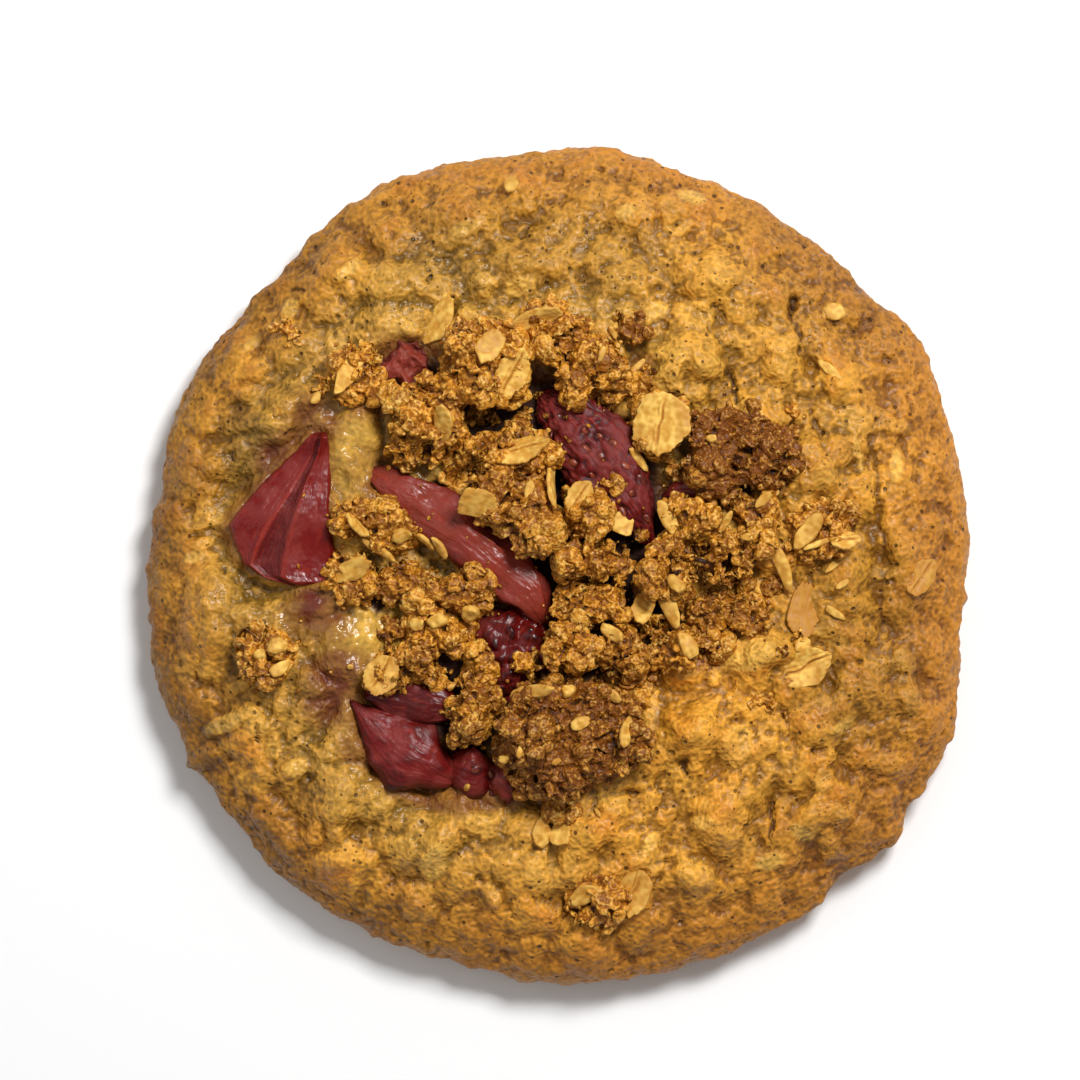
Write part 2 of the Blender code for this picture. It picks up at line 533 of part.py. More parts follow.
def grown(piece, gap):
    """A cutter that is one gap larger than a piece all round."""
    cutter = copy_of(piece, "_grown")
    outwards = [vert.normal.copy() for vert in cutter.data.vertices]
    for vert, direction in zip(cutter.data.vertices, outwards):
        vert.co += direction * gap * MM
    return cutter


def span(piece):
    """Lowest and highest corner of an object's mesh."""
    corners = [vert.co for vert in piece.data.vertices]
    low = Vector([min(corner[axis] for corner in corners) for axis in range(3)])
    high = Vector([max(corner[axis] for corner in corners) for axis in range(3)])
    return low, high


def near(one, other):
    """Whether the boxes of two pieces come within a gap of each other."""
    low, high = span(one)
    other_low, other_high = span(other)
    return all(low[axis] < other_high[axis] + GAP * MM and other_low[axis] < high[axis] + GAP * MM
               for axis in range(3))


def set_down(pieces, dough):
    """Cuts each piece clear of the dough and of the whole forms of the pieces set down before it."""
    done = []
    for piece in pieces:
        whole = copy_of(piece, "_whole")
        cutters = [grown(dough, GAP)]
        cutters += [grown(earlier, GAP) for earlier in done if near(piece, earlier)]
        combine(piece, cutters, "DIFFERENCE")
        low, high = span(piece)
        wanted = FACES_AT_LEAST + FACES_PER_MM * (high.x - low.x + high.y - low.y) / MM
        thin_out(piece, wanted / len(piece.data.polygons))
        combine(piece, [grown(dough, LEAST_GAP)], "DIFFERENCE")
        done.append(whole)
    for whole in done:
        bpy.data.objects.remove(whole)


def remove_everything():
    for old in tuple(bpy.data.objects):
        bpy.data.objects.remove(old)


def build():
    remove_everything()
    cookie = bpy.data.collections.new("strawberry_oat_crumble_cookie")
    cutters = bpy.data.collections.new("cutters")
    bpy.context.scene.collection.children.link(cookie)
    bpy.context.scene.collection.children.link(cutters)
    dough_finish = make_material("dough", 0.55)
    crumble_finish = make_material("crumble", 0.7)
    oat_finish = make_material("oat", 0.6)
    fruit_finish = make_material("strawberry", 0.3)

    dough = make_dough(cookie, dough_finish)
    stuck = []
    for index, (x, y, length, width, direction, height) in enumerate(STUCK_CRUMBS):
        clump = (x, y, length, width, direction, height, 0.15 * height, 60 + index)
        stuck.append(make_clump("stuck_crumb_" + str(index), clump, cookie, crumble_finish))
    for index, (x, y, length, width, direction) in enumerate(STUCK_OATS):
        height = dough_height(x, y) + 0.3
        stuck.append(make_oat("stuck_oat_" + str(index), x, y, height, length, width, (direction, 0, 0),
                              cookie, oat_finish))
    combine(dough, stuck, "UNION")

    pieces = [make_berry(name, berry, cookie, fruit_finish) for name, berry in BERRIES.items()]
    for name, clump in CLUMPS.items():
        piece = make_clump(name, clump, cookie, crumble_finish)
        oats = []
        for index, (carrier, x, y, length, width, direction, roll, pitch) in enumerate(OATS):
            if carrier == name:
                height = clump_top(clump, x, y)
                oats.append(make_oat("oat_" + str(index), x, y, height, length, width, (direction, roll, pitch),
                                     cookie, oat_finish))
        if oats:
            combine(piece, oats, "UNION")
        pieces.append(piece)
    for name, (x, y, length, width, direction, roll, pitch) in LOOSE_OATS.items():
        height = dough_height(x, y) + 1.2
        pieces.append(make_oat(name, x, y, height, length, width, (direction, roll, pitch), cookie, oat_finish))
    set_down(pieces, dough)


build()
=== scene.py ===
import math
import random

import bmesh
import bpy
import numpy as np
from mathutils import Euler, Matrix, Vector, noise
from mathutils.bvhtree import BVHTree


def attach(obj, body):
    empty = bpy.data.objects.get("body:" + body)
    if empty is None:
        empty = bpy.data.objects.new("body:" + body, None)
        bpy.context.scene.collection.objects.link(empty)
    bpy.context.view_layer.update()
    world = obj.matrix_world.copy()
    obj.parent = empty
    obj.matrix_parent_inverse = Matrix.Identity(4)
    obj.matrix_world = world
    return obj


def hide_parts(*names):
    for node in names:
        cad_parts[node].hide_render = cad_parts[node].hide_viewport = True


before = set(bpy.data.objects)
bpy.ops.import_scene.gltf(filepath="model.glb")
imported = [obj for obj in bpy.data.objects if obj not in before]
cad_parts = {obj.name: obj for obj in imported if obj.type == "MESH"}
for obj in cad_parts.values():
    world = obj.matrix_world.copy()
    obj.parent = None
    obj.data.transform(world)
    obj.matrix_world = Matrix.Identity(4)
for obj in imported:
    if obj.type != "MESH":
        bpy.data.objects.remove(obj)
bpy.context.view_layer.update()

# A strawberry oat crumble cookie. Sizes and places are millimetres, x to the right and y away from a viewer
# who looks straight down on it; directions are degrees, anticlockwise from +X.

mm = 0.001
skewTurn = (0.6, 0.5, 0.3)  # turns noise so that its layers don't lie level
skew = Euler(skewTurn).to_matrix()


# ---- form of the dough, as the solid has it

doughForm = {
    "radius": 54.0, "top": 17.0, "belly": 5.0, "footInset": 2.8, "domePower": 3.1, "domeShoulder": 0.56,
    "lumpSize": 7.5, "lumpRise": 1.5, "lumpBend": 0.3, "creaseWidth": 0.34, "creaseShare": 0.3,
    "rippleRise": 0.5, "hollowFloor": 0.85, "edgeWave": 0.45,
}

# direction, spread in degrees, rise
bulges = (
    (30, 8, 1.6), (84, 7, 1.1), (112, 9, 1.0), (137, 9, -1.2), (169, 8, -0.8), (197, 6, 0.9),
    (228, 6, 0.5), (253, 9, -0.5), (276, 12, 0.9), (302, 16, 1.2), (329, 10, 1.8), (338, 4, 1.0),
    (354, 6, -1.0), (320, 22, 0.9), (320.5, 2.4, 1.1), (326, 2.6, -0.9), (208.4, 1.4, 1.2),
    (312, 2.4, -0.7),
)

# x, y, length, width, direction, rise
mounds = (
    (-21.4, 36.8, 12, 9, 10, 1.6), (-41.7, 25.0, 11, 9, 60, 2.0), (-45.0, 12.6, 5, 4, 0, 1.3),
    (-46.0, -5.8, 16, 11, 85, 2.0), (-50.5, 6.7, 6, 5, 90, 1.2), (-40.4, -24.8, 11, 8, 120, 1.2),
    (-32.6, 36.8, 9, 7, 30, 1.2), (-3.7, 39.4, 14, 8, 5, 1.5), (17.2, 26.3, 12, 11, 100, 2.9),
    (20.5, 37.2, 20, 12, -15, 2.6), (28.5, 28.3, 10, 9, 30, 2.0), (36.2, 23.7, 12, 9, 80, 2.4),
    (34.3, 13.0, 14, 11, 75, 2.0), (17.2, 47.0, 10, 6, -20, 1.2), (25.7, 43.0, 10, 7, -30, 1.3),
    (44.5, 3.0, 30, 7, 93, 1.5), (-15.5, -35.9, 14, 10, 25, 2.0), (5.4, -34.6, 14, 8, 10, 1.5),
    (21.2, -32.0, 13, 11, 40, 2.0), (17.5, -21.5, 19, 13, 35, 2.6), (18.5, -41.1, 13, 7, -10, 1.5),
    (34.0, -22.0, 14, 11, 50, 1.6), (-28.5, -26.0, 12, 9, -50, 1.6), (-30.0, -38.0, 12, 8, -40, 1.1),
    (27.0, -11.5, 11, 8, 20, 1.6), (43.0, -18.0, 12, 8, 70, 1.2), (-6.0, -44.0, 13, 7, -5, 1.2),
    (-37.0, 17.5, 9, 7, 40, 1.0), (-9.0, 46.0, 11, 6, 10, 1.1), (33.5, -33.0, 10, 8, -45, 1.2),
)
hollows = (
    (-1.0, 4.0, 52, 44, -25, 2.6), (-36.0, 6.5, 20, 19, 60, 3.0), (-12.0, 3.0, 36, 13, -42, 3.0),
    (-6.0, -10.5, 17, 14, 60, 3.0), (6.0, 12.0, 28, 15, -55, 3.0), (-17.5, -22.0, 18, 18, -35, 3.2),
    (-8.5, -27.0, 15, 9, -10, 2.4), (-20.1, 25.9, 10, 7, 15, 1.8), (17.2, 9.0, 11, 8, 0, 1.6),
    (-9.0, 12.0, 9, 6, 60, 2.2), (-15.0, -5.5, 9, 6, -30, 2.2), (10.0, -13.0, 9, 8, 80, 2.6),
)


def ovalReach(x, y, oval):
    # squared distance from the middle of an oval, 1 on its edge
    turn = math.radians(oval[4])
    along = (x - oval[0]) * math.cos(turn) + (y - oval[1]) * math.sin(turn)
    across = (y - oval[1]) * math.cos(turn) - (x - oval[0]) * math.sin(turn)
    return (2.0 * along / oval[2]) ** 2 + (2.0 * across / oval[3]) ** 2


def radiusAt(angle):
    reach = doughForm["radius"]
    for direction, spread, rise in bulges:
        off = (math.degrees(angle) - direction + 180.0) % 360.0 - 180.0
        reach += rise * math.exp(-((off / spread) ** 2))
    wave = Vector((math.cos(angle) * 7.0, math.sin(angle) * 7.0, 3.1))
    return reach + doughForm["edgeWave"] * noise.noise(wave)


def lumpAt(x, y):
    place = Vector((x, y, 4.0)) / doughForm["lumpSize"]
    bend = Vector((noise.noise(place * 1.7), noise.noise(place * 1.7 + Vector((5.2, 1.3, 8.4))), 0.0))
    near = noise.voronoi(place + doughForm["lumpBend"] * bend)[0]
    crease = min((near[1] - near[0]) / doughForm["creaseWidth"], 1.0)
    share = doughForm["creaseShare"]
    shape = share * crease ** 0.6 + (1.0 - share) * (1.0 - near[0] ** 2) - 0.8
    ripple = noise.noise(Vector((x, y, 9.0)) * 0.33)
    return doughForm["lumpRise"] * shape + doughForm["rippleRise"] * ripple


outlineRadius = np.vectorize(radiusAt)
lumpHeight = np.vectorize(lumpAt)


def doughHeight(x, y):
    share = np.minimum(np.hypot(x, y) / outlineRadius(np.arctan2(y, x)), 1.0)
    dome = (1.0 - share ** doughForm["domePower"]) ** doughForm["domeShoulder"]
    relief = lumpHeight(x, y)
    for mound in mounds:
        relief = relief + mound[5] * np.maximum(1.0 - ovalReach(x, y, mound), 0.0) ** 2
    depth = 0.0 * relief
    for hollow in hollows:
        reach = doughForm["hollowFloor"] * ovalReach(x, y, hollow)
        depth = np.maximum(depth, hollow[5] / (1.0 + reach ** 4))
    height = doughForm["belly"] + (doughForm["top"] - doughForm["belly"]) * dome
    return height + (relief - depth) * np.minimum(dome * 1.6, 1.0)


# ---- node helpers and shared effects

def tone(red, green, blue):
    # a colour as seen on screen, in the shader's own light values
    return tuple((part / 255.0 / 12.92 if part < 10.3 else ((part / 255.0 + 0.055) / 1.055) ** 2.4)
                 for part in (red, green, blue)) + (1.0,)


def feed(tree, socket, value):
    if isinstance(value, bpy.types.NodeSocket):
        tree.links.new(value, socket)
    else:
        socket.default_value = value


def calc(tree, operation, first, second=0.0, third=0.0, clamp=False):
    node = tree.nodes.new("ShaderNodeMath")
    node.operation = operation
    node.use_clamp = clamp
    for socket, value in zip(node.inputs, (first, second, third)):
        feed(tree, socket, value)
    return node.outputs[0]


def times(tree, first, second):
    return calc(tree, "MULTIPLY", first, second)


def plus(tree, first, second):
    return calc(tree, "ADD", first, second)


def minus(tree, first, second, clamp=False):
    return calc(tree, "SUBTRACT", first, second, clamp=clamp)


def timesPlus(tree, value, factor, offset):
    return calc(tree, "MULTIPLY_ADD", value, factor, offset)


def larger(tree, first, second):
    return calc(tree, "MAXIMUM", first, second)


def mixed(tree, share, first, second, kind="MIX"):
    node = tree.nodes.new("ShaderNodeMix")
    node.data_type = "RGBA"
    node.blend_type = kind
    feed(tree, node.inputs[0], share)
    feed(tree, node.inputs[6], first)
    feed(tree, node.inputs[7], second)
    return node.outputs[2]


def between(tree, value, low, high):
    # 0 at low, 1 at high and a soft step between them
    node = tree.nodes.new("ShaderNodeMapRange")
    node.interpolation_type = "SMOOTHSTEP"
    for socket, amount in zip(node.inputs, (value, low, high)):
        feed(tree, socket, amount)
    return node.outputs[0]


def attribute(tree, name):
    node = tree.nodes.new("ShaderNodeAttribute")
    node.attribute_name = name
    return node.outputs["Fac"]


def objectPlace(tree):
    # Object coordinates in millimetres, turned so that noise shows no layers on level ground
    node = tree.nodes.new("ShaderNodeTexCoord")
    mapping = tree.nodes.new("ShaderNodeMapping")
    mapping.inputs["Rotation"].default_value = skewTurn
    mapping.inputs["Scale"].default_value = (1.0 / mm, 1.0 / mm, 1.0 / mm)
    tree.links.new(node.outputs["Object"], mapping.inputs["Vector"])
    return mapping.outputs[0]


def cloud(tree, place, size, detail=2.0, roughness=0.5):
    # noise of a given size in millimetres, or where the size is a socket, with that many waves a millimetre
    node = tree.nodes.new("ShaderNodeTexNoise")
    tree.links.new(place, node.inputs["Vector"])
    feed(tree, node.inputs["Scale"], size if isinstance(size, bpy.types.NodeSocket) else 1.0 / size)
    node.inputs["Detail"].default_value = detail
    node.inputs["Roughness"].default_value = roughness
    return node.outputs["Fac"]


def newGroup(name, inputs, outputs):
    group = bpy.data.node_groups.new(name, "ShaderNodeTree")
    for label, kind, value in inputs:
        socket = group.interface.new_socket(label, in_out="INPUT", socket_type="NodeSocket" + kind)
        if value is not None:
            socket.default_value = value
    for label, kind in outputs:
        group.interface.new_socket(label, in_out="OUTPUT", socket_type="NodeSocket" + kind)
    return group, group.nodes.new("NodeGroupInput").outputs, group.nodes.new("NodeGroupOutput").inputs


def useGroup(tree, group, **values):
    node = tree.nodes.new("ShaderNodeGroup")
    node.node_tree = group
    for label, value in values.items():
        feed(tree, node.inputs[label], value)
    return node.outputs


def makeGrainRelief():
    # sugary grain: two sizes of lumps, height in millimetres
    inputs = (("Place", "Vector", None), ("Size", "Float", 0.6), ("Depth", "Float", 0.1))
    group, given, made = newGroup("grainRelief", inputs, (("Height", "Float"), ("Mask", "Float")))
    scale = calc(group, "DIVIDE", 1.0, given["Size"])
    coarse = cloud(group, given["Place"], times(group, scale, 0.55), 1.0, 0.5)
    fine = cloud(group, given["Place"], scale, 0.0)
    total = plus(group, times(group, coarse, 0.55), times(group, fine, 0.45))
    feed(group, made["Height"], times(group, total, given["Depth"]))
    feed(group, made["Mask"], between(group, total, 0.34, 0.66))
    return group


def makePits():
    # small round pits, of which only a share of the cells has one; mask 1 inside
    inputs = (("Place", "Vector", None), ("Size", "Float", 1.5), ("Share", "Float", 0.3))
    group, given, made = newGroup("pits", inputs, (("Mask", "Float"),))
    cells = group.nodes.new("ShaderNodeTexVoronoi")
    cells.inputs["Randomness"].default_value = 1.0
    group.links.new(given["Place"], cells.inputs["Vector"])
    feed(group, cells.inputs["Scale"], calc(group, "DIVIDE", 1.0, given["Size"]))
    pick = group.nodes.new("ShaderNodeSeparateColor")
    group.links.new(cells.outputs["Color"], pick.inputs[0])
    chosen = calc(group, "LESS_THAN", pick.outputs[0], given["Share"])
    width = timesPlus(group, pick.outputs[1], 0.16, 0.14)
    inside = between(group, cells.outputs["Distance"], width, times(group, width, 0.45))
    feed(group, made["Mask"], times(group, chosen, inside))
    return group


def makeColourDrift():
    # a colour that drifts towards another one in soft patches
    inputs = (("Place", "Vector", None), ("Colour", "Color", (0, 0, 0, 1)), ("Other", "Color", (0, 0, 0, 1)),
              ("Size", "Float", 3.0), ("Amount", "Float", 1.0))
    group, given, made = newGroup("colourDrift", inputs, (("Colour", "Color"),))
    patches = cloud(group, given["Place"], calc(group, "DIVIDE", 1.0, given["Size"]), 3.0, 0.55)
    share = times(group, between(group, patches, 0.4, 0.66), given["Amount"])
    feed(group, made["Colour"], mixed(group, share, given["Colour"], given["Other"]))
    return group


grainRelief = makeGrainRelief()
pits = makePits()
colourDrift = makeColourDrift()


def drifting(tree, place, colour, other, size, amount):
    # a colour with soft patches of another one
    made = useGroup(tree, colourDrift, Place=place, Colour=colour, Other=other, Size=size, Amount=amount)
    return made["Colour"]


def newFinish(name):
    finish = bpy.data.materials.new(name)
    finish.use_nodes = True
    tree = finish.node_tree
    return finish, tree, tree.nodes["Principled BSDF"], objectPlace(tree)


def giveBump(tree, shader, height):
    # a height in millimetres
    bump = tree.nodes.new("ShaderNodeBump")
    bump.inputs["Distance"].default_value = mm
    feed(tree, bump.inputs["Height"], height)
    tree.links.new(bump.outputs["Normal"], shader.inputs["Normal"])


def giveDepth(shader, share, colour, reach=1.2):
    # light that goes a little way into the food, in millimetres
    shader.inputs["Subsurface Weight"].default_value = share
    shader.inputs["Subsurface Radius"].default_value = colour
    shader.inputs["Subsurface Scale"].default_value = reach * mm


print("shared effects ready")


# ---- finishes: grain and pits as size with depth or share, relief in millimetres

doughSkin = {
    # the valley and rimDark colours are painted shade for the hollows, darker than the crests
    "valley": tone(147, 93, 16), "crest": tone(228, 160, 50), "oliveValley": tone(124, 89, 28),
    "oliveCrest": tone(194, 143, 56), "toasted": tone(206, 124, 34), "rim": tone(182, 118, 34),
    "rimDark": tone(130, 78, 20), "pit": tone(52, 27, 4), "oat": tone(230, 178, 80),
    "wet": tone(208, 164, 72), "stain": tone(100, 36, 27), "gapShade": tone(46, 19, 6),
    "grain": dict(Size=0.6, Depth=0.62), "broad": dict(Size=1.9, Depth=0.5),
    "smallPits": dict(Size=1.3, Share=0.3), "finePits": dict(Size=0.6, Share=0.34), "pitDepth": 0.3,
    "oatShare": 0.75, "wetShare": 0.7, "roughness": 0.42, "specular": 0.32, "depth": 0.12,
    "depthColour": (1.0, 0.45, 0.15),
}


def makeDoughFinish():
    finish, tree, shader, place = newFinish("bakedDough")
    look = doughSkin
    swell = attribute(tree, "swell")    # wide mounds against wide valleys
    proud = attribute(tree, "proud")    # small crests against small creases
    olive = attribute(tree, "olive")
    wet = attribute(tree, "wet")
    dryness = minus(tree, 1.0, wet, clamp=True)
    grain = useGroup(tree, grainRelief, Place=place, **look["grain"])
    broad = useGroup(tree, grainRelief, Place=place, **look["broad"])
    smallPits = useGroup(tree, pits, Place=place, **look["smallPits"])["Mask"]
    finePits = useGroup(tree, pits, Place=place, **look["finePits"])["Mask"]

    # painted shade: darker in the valleys and golden on the crests, over the dough's own tones; khaki where
    # the dough is olive, toasted and browner to the rim
    height = plus(tree, times(tree, swell, 0.6), times(tree, proud, 0.4))
    height = plus(tree, height, times(tree, minus(tree, broad["Mask"], 0.5), 0.3))
    height = plus(tree, height, times(tree, minus(tree, grain["Mask"], 0.5), 0.2))
    low = mixed(tree, olive, look["valley"], look["oliveValley"])
    high = mixed(tree, olive, look["crest"], look["oliveCrest"])
    colour = mixed(tree, between(tree, height, -0.05, 0.8), low, high)
    toast = times(tree, between(tree, swell, 0.3, 0.95), minus(tree, 0.85, olive, clamp=True))
    colour = drifting(tree, place, colour, look["toasted"], 6.0, toast)
    # painted shade on the rim as well: darker in its hollows
    rim = mixed(tree, between(tree, height, 0.1, 0.75), look["rimDark"], look["rim"])
    colour = mixed(tree, attribute(tree, "bake"), colour, rim)

    # oats under the skin, wet dough, grain, pits painted dark as shade, juice stains, and painted shade in
    # the gaps between the clumps
    colour = mixed(tree, times(tree, attribute(tree, "pale"), look["oatShare"]), colour, look["oat"])
    colour = mixed(tree, times(tree, wet, look["wetShare"]), colour, look["wet"])
    # the grain speckles the colour, and the shade attribute darkens it: painted shade on the left rim, and
    # darker patches
    speckleAndShade = timesPlus(tree, grain["Mask"], 0.4, 0.82)
    speckleAndShade = times(tree, speckleAndShade, minus(tree, 1.0, attribute(tree, "shade")))
    colour = mixed(tree, 1.0, colour, speckleAndShade, "MULTIPLY")
    # painted shade: the pits are coloured near black, as shade inside them
    dark = larger(tree, times(tree, smallPits, 0.8), times(tree, finePits, 0.55))
    dark = times(tree, dark, timesPlus(tree, dryness, 0.75, 0.25))
    colour = mixed(tree, dark, colour, look["pit"])
    soaked = times(tree, attribute(tree, "stain"), timesPlus(tree, broad["Mask"], 0.25, 0.72))
    colour = mixed(tree, soaked, colour, look["stain"])
    # painted shade: near black in the gaps between the clumps and in the cracks
    colour = mixed(tree, attribute(tree, "gap"), colour, look["gapShade"])
    feed(tree, shader.inputs["Base Color"], colour)

    # glossier where it is wet or olive, dull deep down
    shine = timesPlus(tree, broad["Mask"], 0.2, timesPlus(tree, olive, -0.12, look["roughness"]))
    shine = minus(tree, shine, times(tree, wet, 0.2))
    shine = larger(tree, shine, times(tree, attribute(tree, "gap"), 0.8))
    feed(tree, shader.inputs["Roughness"], shine)
    shader.inputs["Specular IOR Level"].default_value = look["specular"]
    giveDepth(shader, look["depth"], look["depthColour"])
    relief = plus(tree, grain["Height"], broad["Height"])
    relief = minus(tree, relief, times(tree, dark, look["pitDepth"]))
    giveBump(tree, shader, times(tree, relief, timesPlus(tree, dryness, 0.45, 0.55)))
    return finish


brownSugar = {
    "creviceShade": tone(50, 20, 3), "body": tone(160, 96, 18), "litGrain": tone(232, 160, 48),
    "burnt": tone(112, 58, 10), "butter": tone(246, 196, 104),
    "grain": dict(Size=0.38, Depth=0.5), "lumps": dict(Size=1.1, Depth=0.3),
    "roughness": 0.34, "specular": 0.28, "depth": 0.15, "depthColour": (1.0, 0.4, 0.12),
}


def makeCrumbleFinish():
    finish, tree, shader, place = newFinish("brownSugarCrumble")
    look = brownSugar
    grain = useGroup(tree, grainRelief, Place=place, **look["grain"])
    lumps = useGroup(tree, grainRelief, Place=place, **look["lumps"])
    # painted light and shade: lighter on the crests and grain tops, near black in the hollows that sunken
    # marks, over the crumble's own tones
    height = timesPlus(tree, grain["Mask"], 0.5, times(tree, attribute(tree, "proud"), 0.5))
    colour = mixed(tree, between(tree, height, 0.25, 0.85), look["body"], look["litGrain"])
    colour = drifting(tree, place, colour, look["burnt"], 2.6, 0.65)
    colour = drifting(tree, place, colour, look["butter"], 0.55, between(tree, height, 0.5, 0.95))
    # painted highlight: the crests stay less burnt
    toast = timesPlus(tree, between(tree, height, 0.55, 0.95), -0.5, 1.0)
    colour = mixed(tree, times(tree, attribute(tree, "darkening"), toast), colour, look["burnt"])
    colour = mixed(tree, attribute(tree, "sunken"), colour, look["creviceShade"])
    feed(tree, shader.inputs["Base Color"], colour)
    feed(tree, shader.inputs["Roughness"], timesPlus(tree, lumps["Mask"], 0.22, look["roughness"]))
    shader.inputs["Specular IOR Level"].default_value = look["specular"]
    giveDepth(shader, look["depth"], look["depthColour"])
    giveBump(tree, shader, plus(tree, grain["Height"], lumps["Height"]))
    return finish


rolledOat = {
    "face": tone(244, 198, 98), "shade": tone(208, 150, 56), "crease": tone(176, 116, 40),
    "toasted": tone(176, 114, 34), "grain": dict(Size=0.7, Depth=0.2), "specks": dict(Size=0.9, Share=0.1),
    "roughness": 0.45, "specular": 0.28,
}


def makeOatFinish():
    finish, tree, shader, place = newFinish("toastedOat")
    look = rolledOat
    grain = useGroup(tree, grainRelief, Place=place, **look["grain"])
    specks = useGroup(tree, pits, Place=place, **look["specks"])["Mask"]
    colour = mixed(tree, grain["Mask"], look["shade"], look["face"])
    colour = drifting(tree, place, colour, look["toasted"], 2.6, 0.55)
    colour = mixed(tree, times(tree, attribute(tree, "darkening"), 0.8), colour, look["toasted"])
    colour = mixed(tree, between(tree, attribute(tree, "crease"), 0.3, 0.9), colour, look["crease"])
    colour = mixed(tree, times(tree, specks, 0.6), colour, look["crease"])
    feed(tree, shader.inputs["Base Color"], colour)
    feed(tree, shader.inputs["Roughness"], timesPlus(tree, grain["Mask"], 0.2, look["roughness"]))
    shader.inputs["Specular IOR Level"].default_value = look["specular"]
    giveBump(tree, shader, grain["Height"])
    return finish


bakedFruit = {
    "flesh": tone(116, 16, 12), "deep": tone(50, 5, 5), "ridge": tone(164, 50, 32),
    "paintedSheen": tone(140, 50, 42), "pink": tone(148, 64, 44),
    "grain": dict(Size=0.6, Depth=0.14), "broad": dict(Size=2.6, Depth=0.36),
    "fibreSize": 0.7, "fibreStretch": 0.3, "fibreDepth": 0.22,
    "roughness": 0.25, "specular": 0.36, "depth": 0.25, "depthColour": (1.0, 0.12, 0.08),
}


def makeFruitFinish():
    finish, tree, shader, place = newFinish("bakedStrawberry")
    look = bakedFruit
    join = tree.nodes.new("ShaderNodeCombineXYZ")
    feed(tree, join.inputs[0], times(tree, attribute(tree, "along"), look["fibreStretch"]))
    feed(tree, join.inputs[1], attribute(tree, "across"))
    fibres = cloud(tree, join.outputs[0], look["fibreSize"], 2.0, 0.5)
    grain = useGroup(tree, grainRelief, Place=place, **look["grain"])
    broad = useGroup(tree, grainRelief, Place=place, **look["broad"])
    # painted shade: deep crimson where the fruit lies low, flesh red where it stands proud
    colour = mixed(tree, between(tree, attribute(tree, "proud"), 0.0, 0.55), look["deep"], look["flesh"])
    colour = mixed(tree, times(tree, attribute(tree, "pink"), 0.75), colour, look["pink"])
    # darkening: the fruit's own browning, with painted shade along its sides, round the seed dimples and on
    # the wedge's middle face
    colour = mixed(tree, times(tree, attribute(tree, "darkening"), 0.85), colour, look["deep"])
    colour = mixed(tree, times(tree, between(tree, fibres, 0.5, 0.75), 0.4), colour, look["ridge"])
    colour = mixed(tree, times(tree, attribute(tree, "ridge"), 0.7), colour, look["ridge"])
    # painted sheen: pale patches over the flesh
    colour = mixed(tree, times(tree, between(tree, broad["Mask"], 0.4, 0.95), 0.4), colour, look["paintedSheen"])
    feed(tree, shader.inputs["Base Color"], colour)
    shine = timesPlus(tree, broad["Mask"], 0.2, look["roughness"])
    feed(tree, shader.inputs["Roughness"], timesPlus(tree, attribute(tree, "matte"), 0.22, shine))
    shader.inputs["Specular IOR Level"].default_value = look["specular"]
    giveDepth(shader, look["depth"], look["depthColour"])
    giveBump(tree, shader, plus(tree, grain["Height"], times(tree, fibres, look["fibreDepth"])))
    return finish


berrySeed = {"dark": tone(84, 26, 18), "light": tone(146, 66, 36), "spotSize": 0.8, "depth": 0.05}


def makeSeedFinish():
    finish, tree, shader, place = newFinish("strawberrySeed")
    look = berrySeed
    spots = cloud(tree, place, look["spotSize"])
    colour = mixed(tree, between(tree, spots, 0.35, 0.65), look["dark"], look["light"])
    feed(tree, shader.inputs["Base Color"], colour)
    feed(tree, shader.inputs["Roughness"], timesPlus(tree, spots, 0.3, 0.2))
    giveBump(tree, shader, times(tree, spots, look["depth"]))
    return finish


doughFinish = makeDoughFinish()
crumbleFinish = makeCrumbleFinish()
oatFinish = makeOatFinish()
fruitFinish = makeFruitFinish()
seedFinish = makeSeedFinish()
print("finishes ready")


# ---- mesh helpers

def setValues(mesh, name, values):
    layer = mesh.attributes.get(name) or mesh.attributes.new(name, "FLOAT", "POINT")
    layer.data.foreach_set("value", np.asarray(values, dtype=np.float32))


def placesOf(mesh):
    places = np.empty(len(mesh.vertices) * 3)
    mesh.vertices.foreach_get("co", places)
    return places.reshape(-1, 3)


def normalsOf(mesh):
    normals = np.empty(len(mesh.vertices) * 3)
    mesh.vertex_normals.foreach_get("vector", normals)
    return normals.reshape(-1, 3)


def standOut(mesh, rounds):
    # how far each point stands out of the surface once that is smoothed, in millimetres
    places = placesOf(mesh)
    ends = np.empty(len(mesh.edges) * 2, dtype=np.int32)
    mesh.edges.foreach_get("vertices", ends)
    first, second = ends.reshape(-1, 2).T
    count = len(places)
    beside = np.maximum(np.bincount(first, minlength=count) + np.bincount(second, minlength=count), 1)
    smooth = places.copy()
    for step in range(rounds):
        for axis in range(3):
            line = smooth[:, axis]
            total = np.bincount(first, weights=line[second], minlength=count)
            total += np.bincount(second, weights=line[first], minlength=count)
            smooth[:, axis] = 0.5 * line + 0.5 * total / beside
    return ((places - smooth) * normalsOf(mesh)).sum(axis=1) / mm


def markStanding(mesh, name, rounds, span, least=0.0):
    # 1 on crests and 0 in hollows, where span is the difference in millimetres between the two
    setValues(mesh, name, np.clip(0.5 + standOut(mesh, rounds) / span, least, 1.0))


def newPiece(name, bm, finish):
    bmesh.ops.transform(bm, matrix=Matrix.Scale(mm, 4), verts=bm.verts)
    mesh = bpy.data.meshes.new(name)
    bm.to_mesh(mesh)
    bm.free()
    mesh.materials.append(finish)
    mesh.shade_smooth()
    piece = bpy.data.objects.new(name, mesh)
    bpy.context.scene.collection.objects.link(piece)
    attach(piece, "root")
    return piece


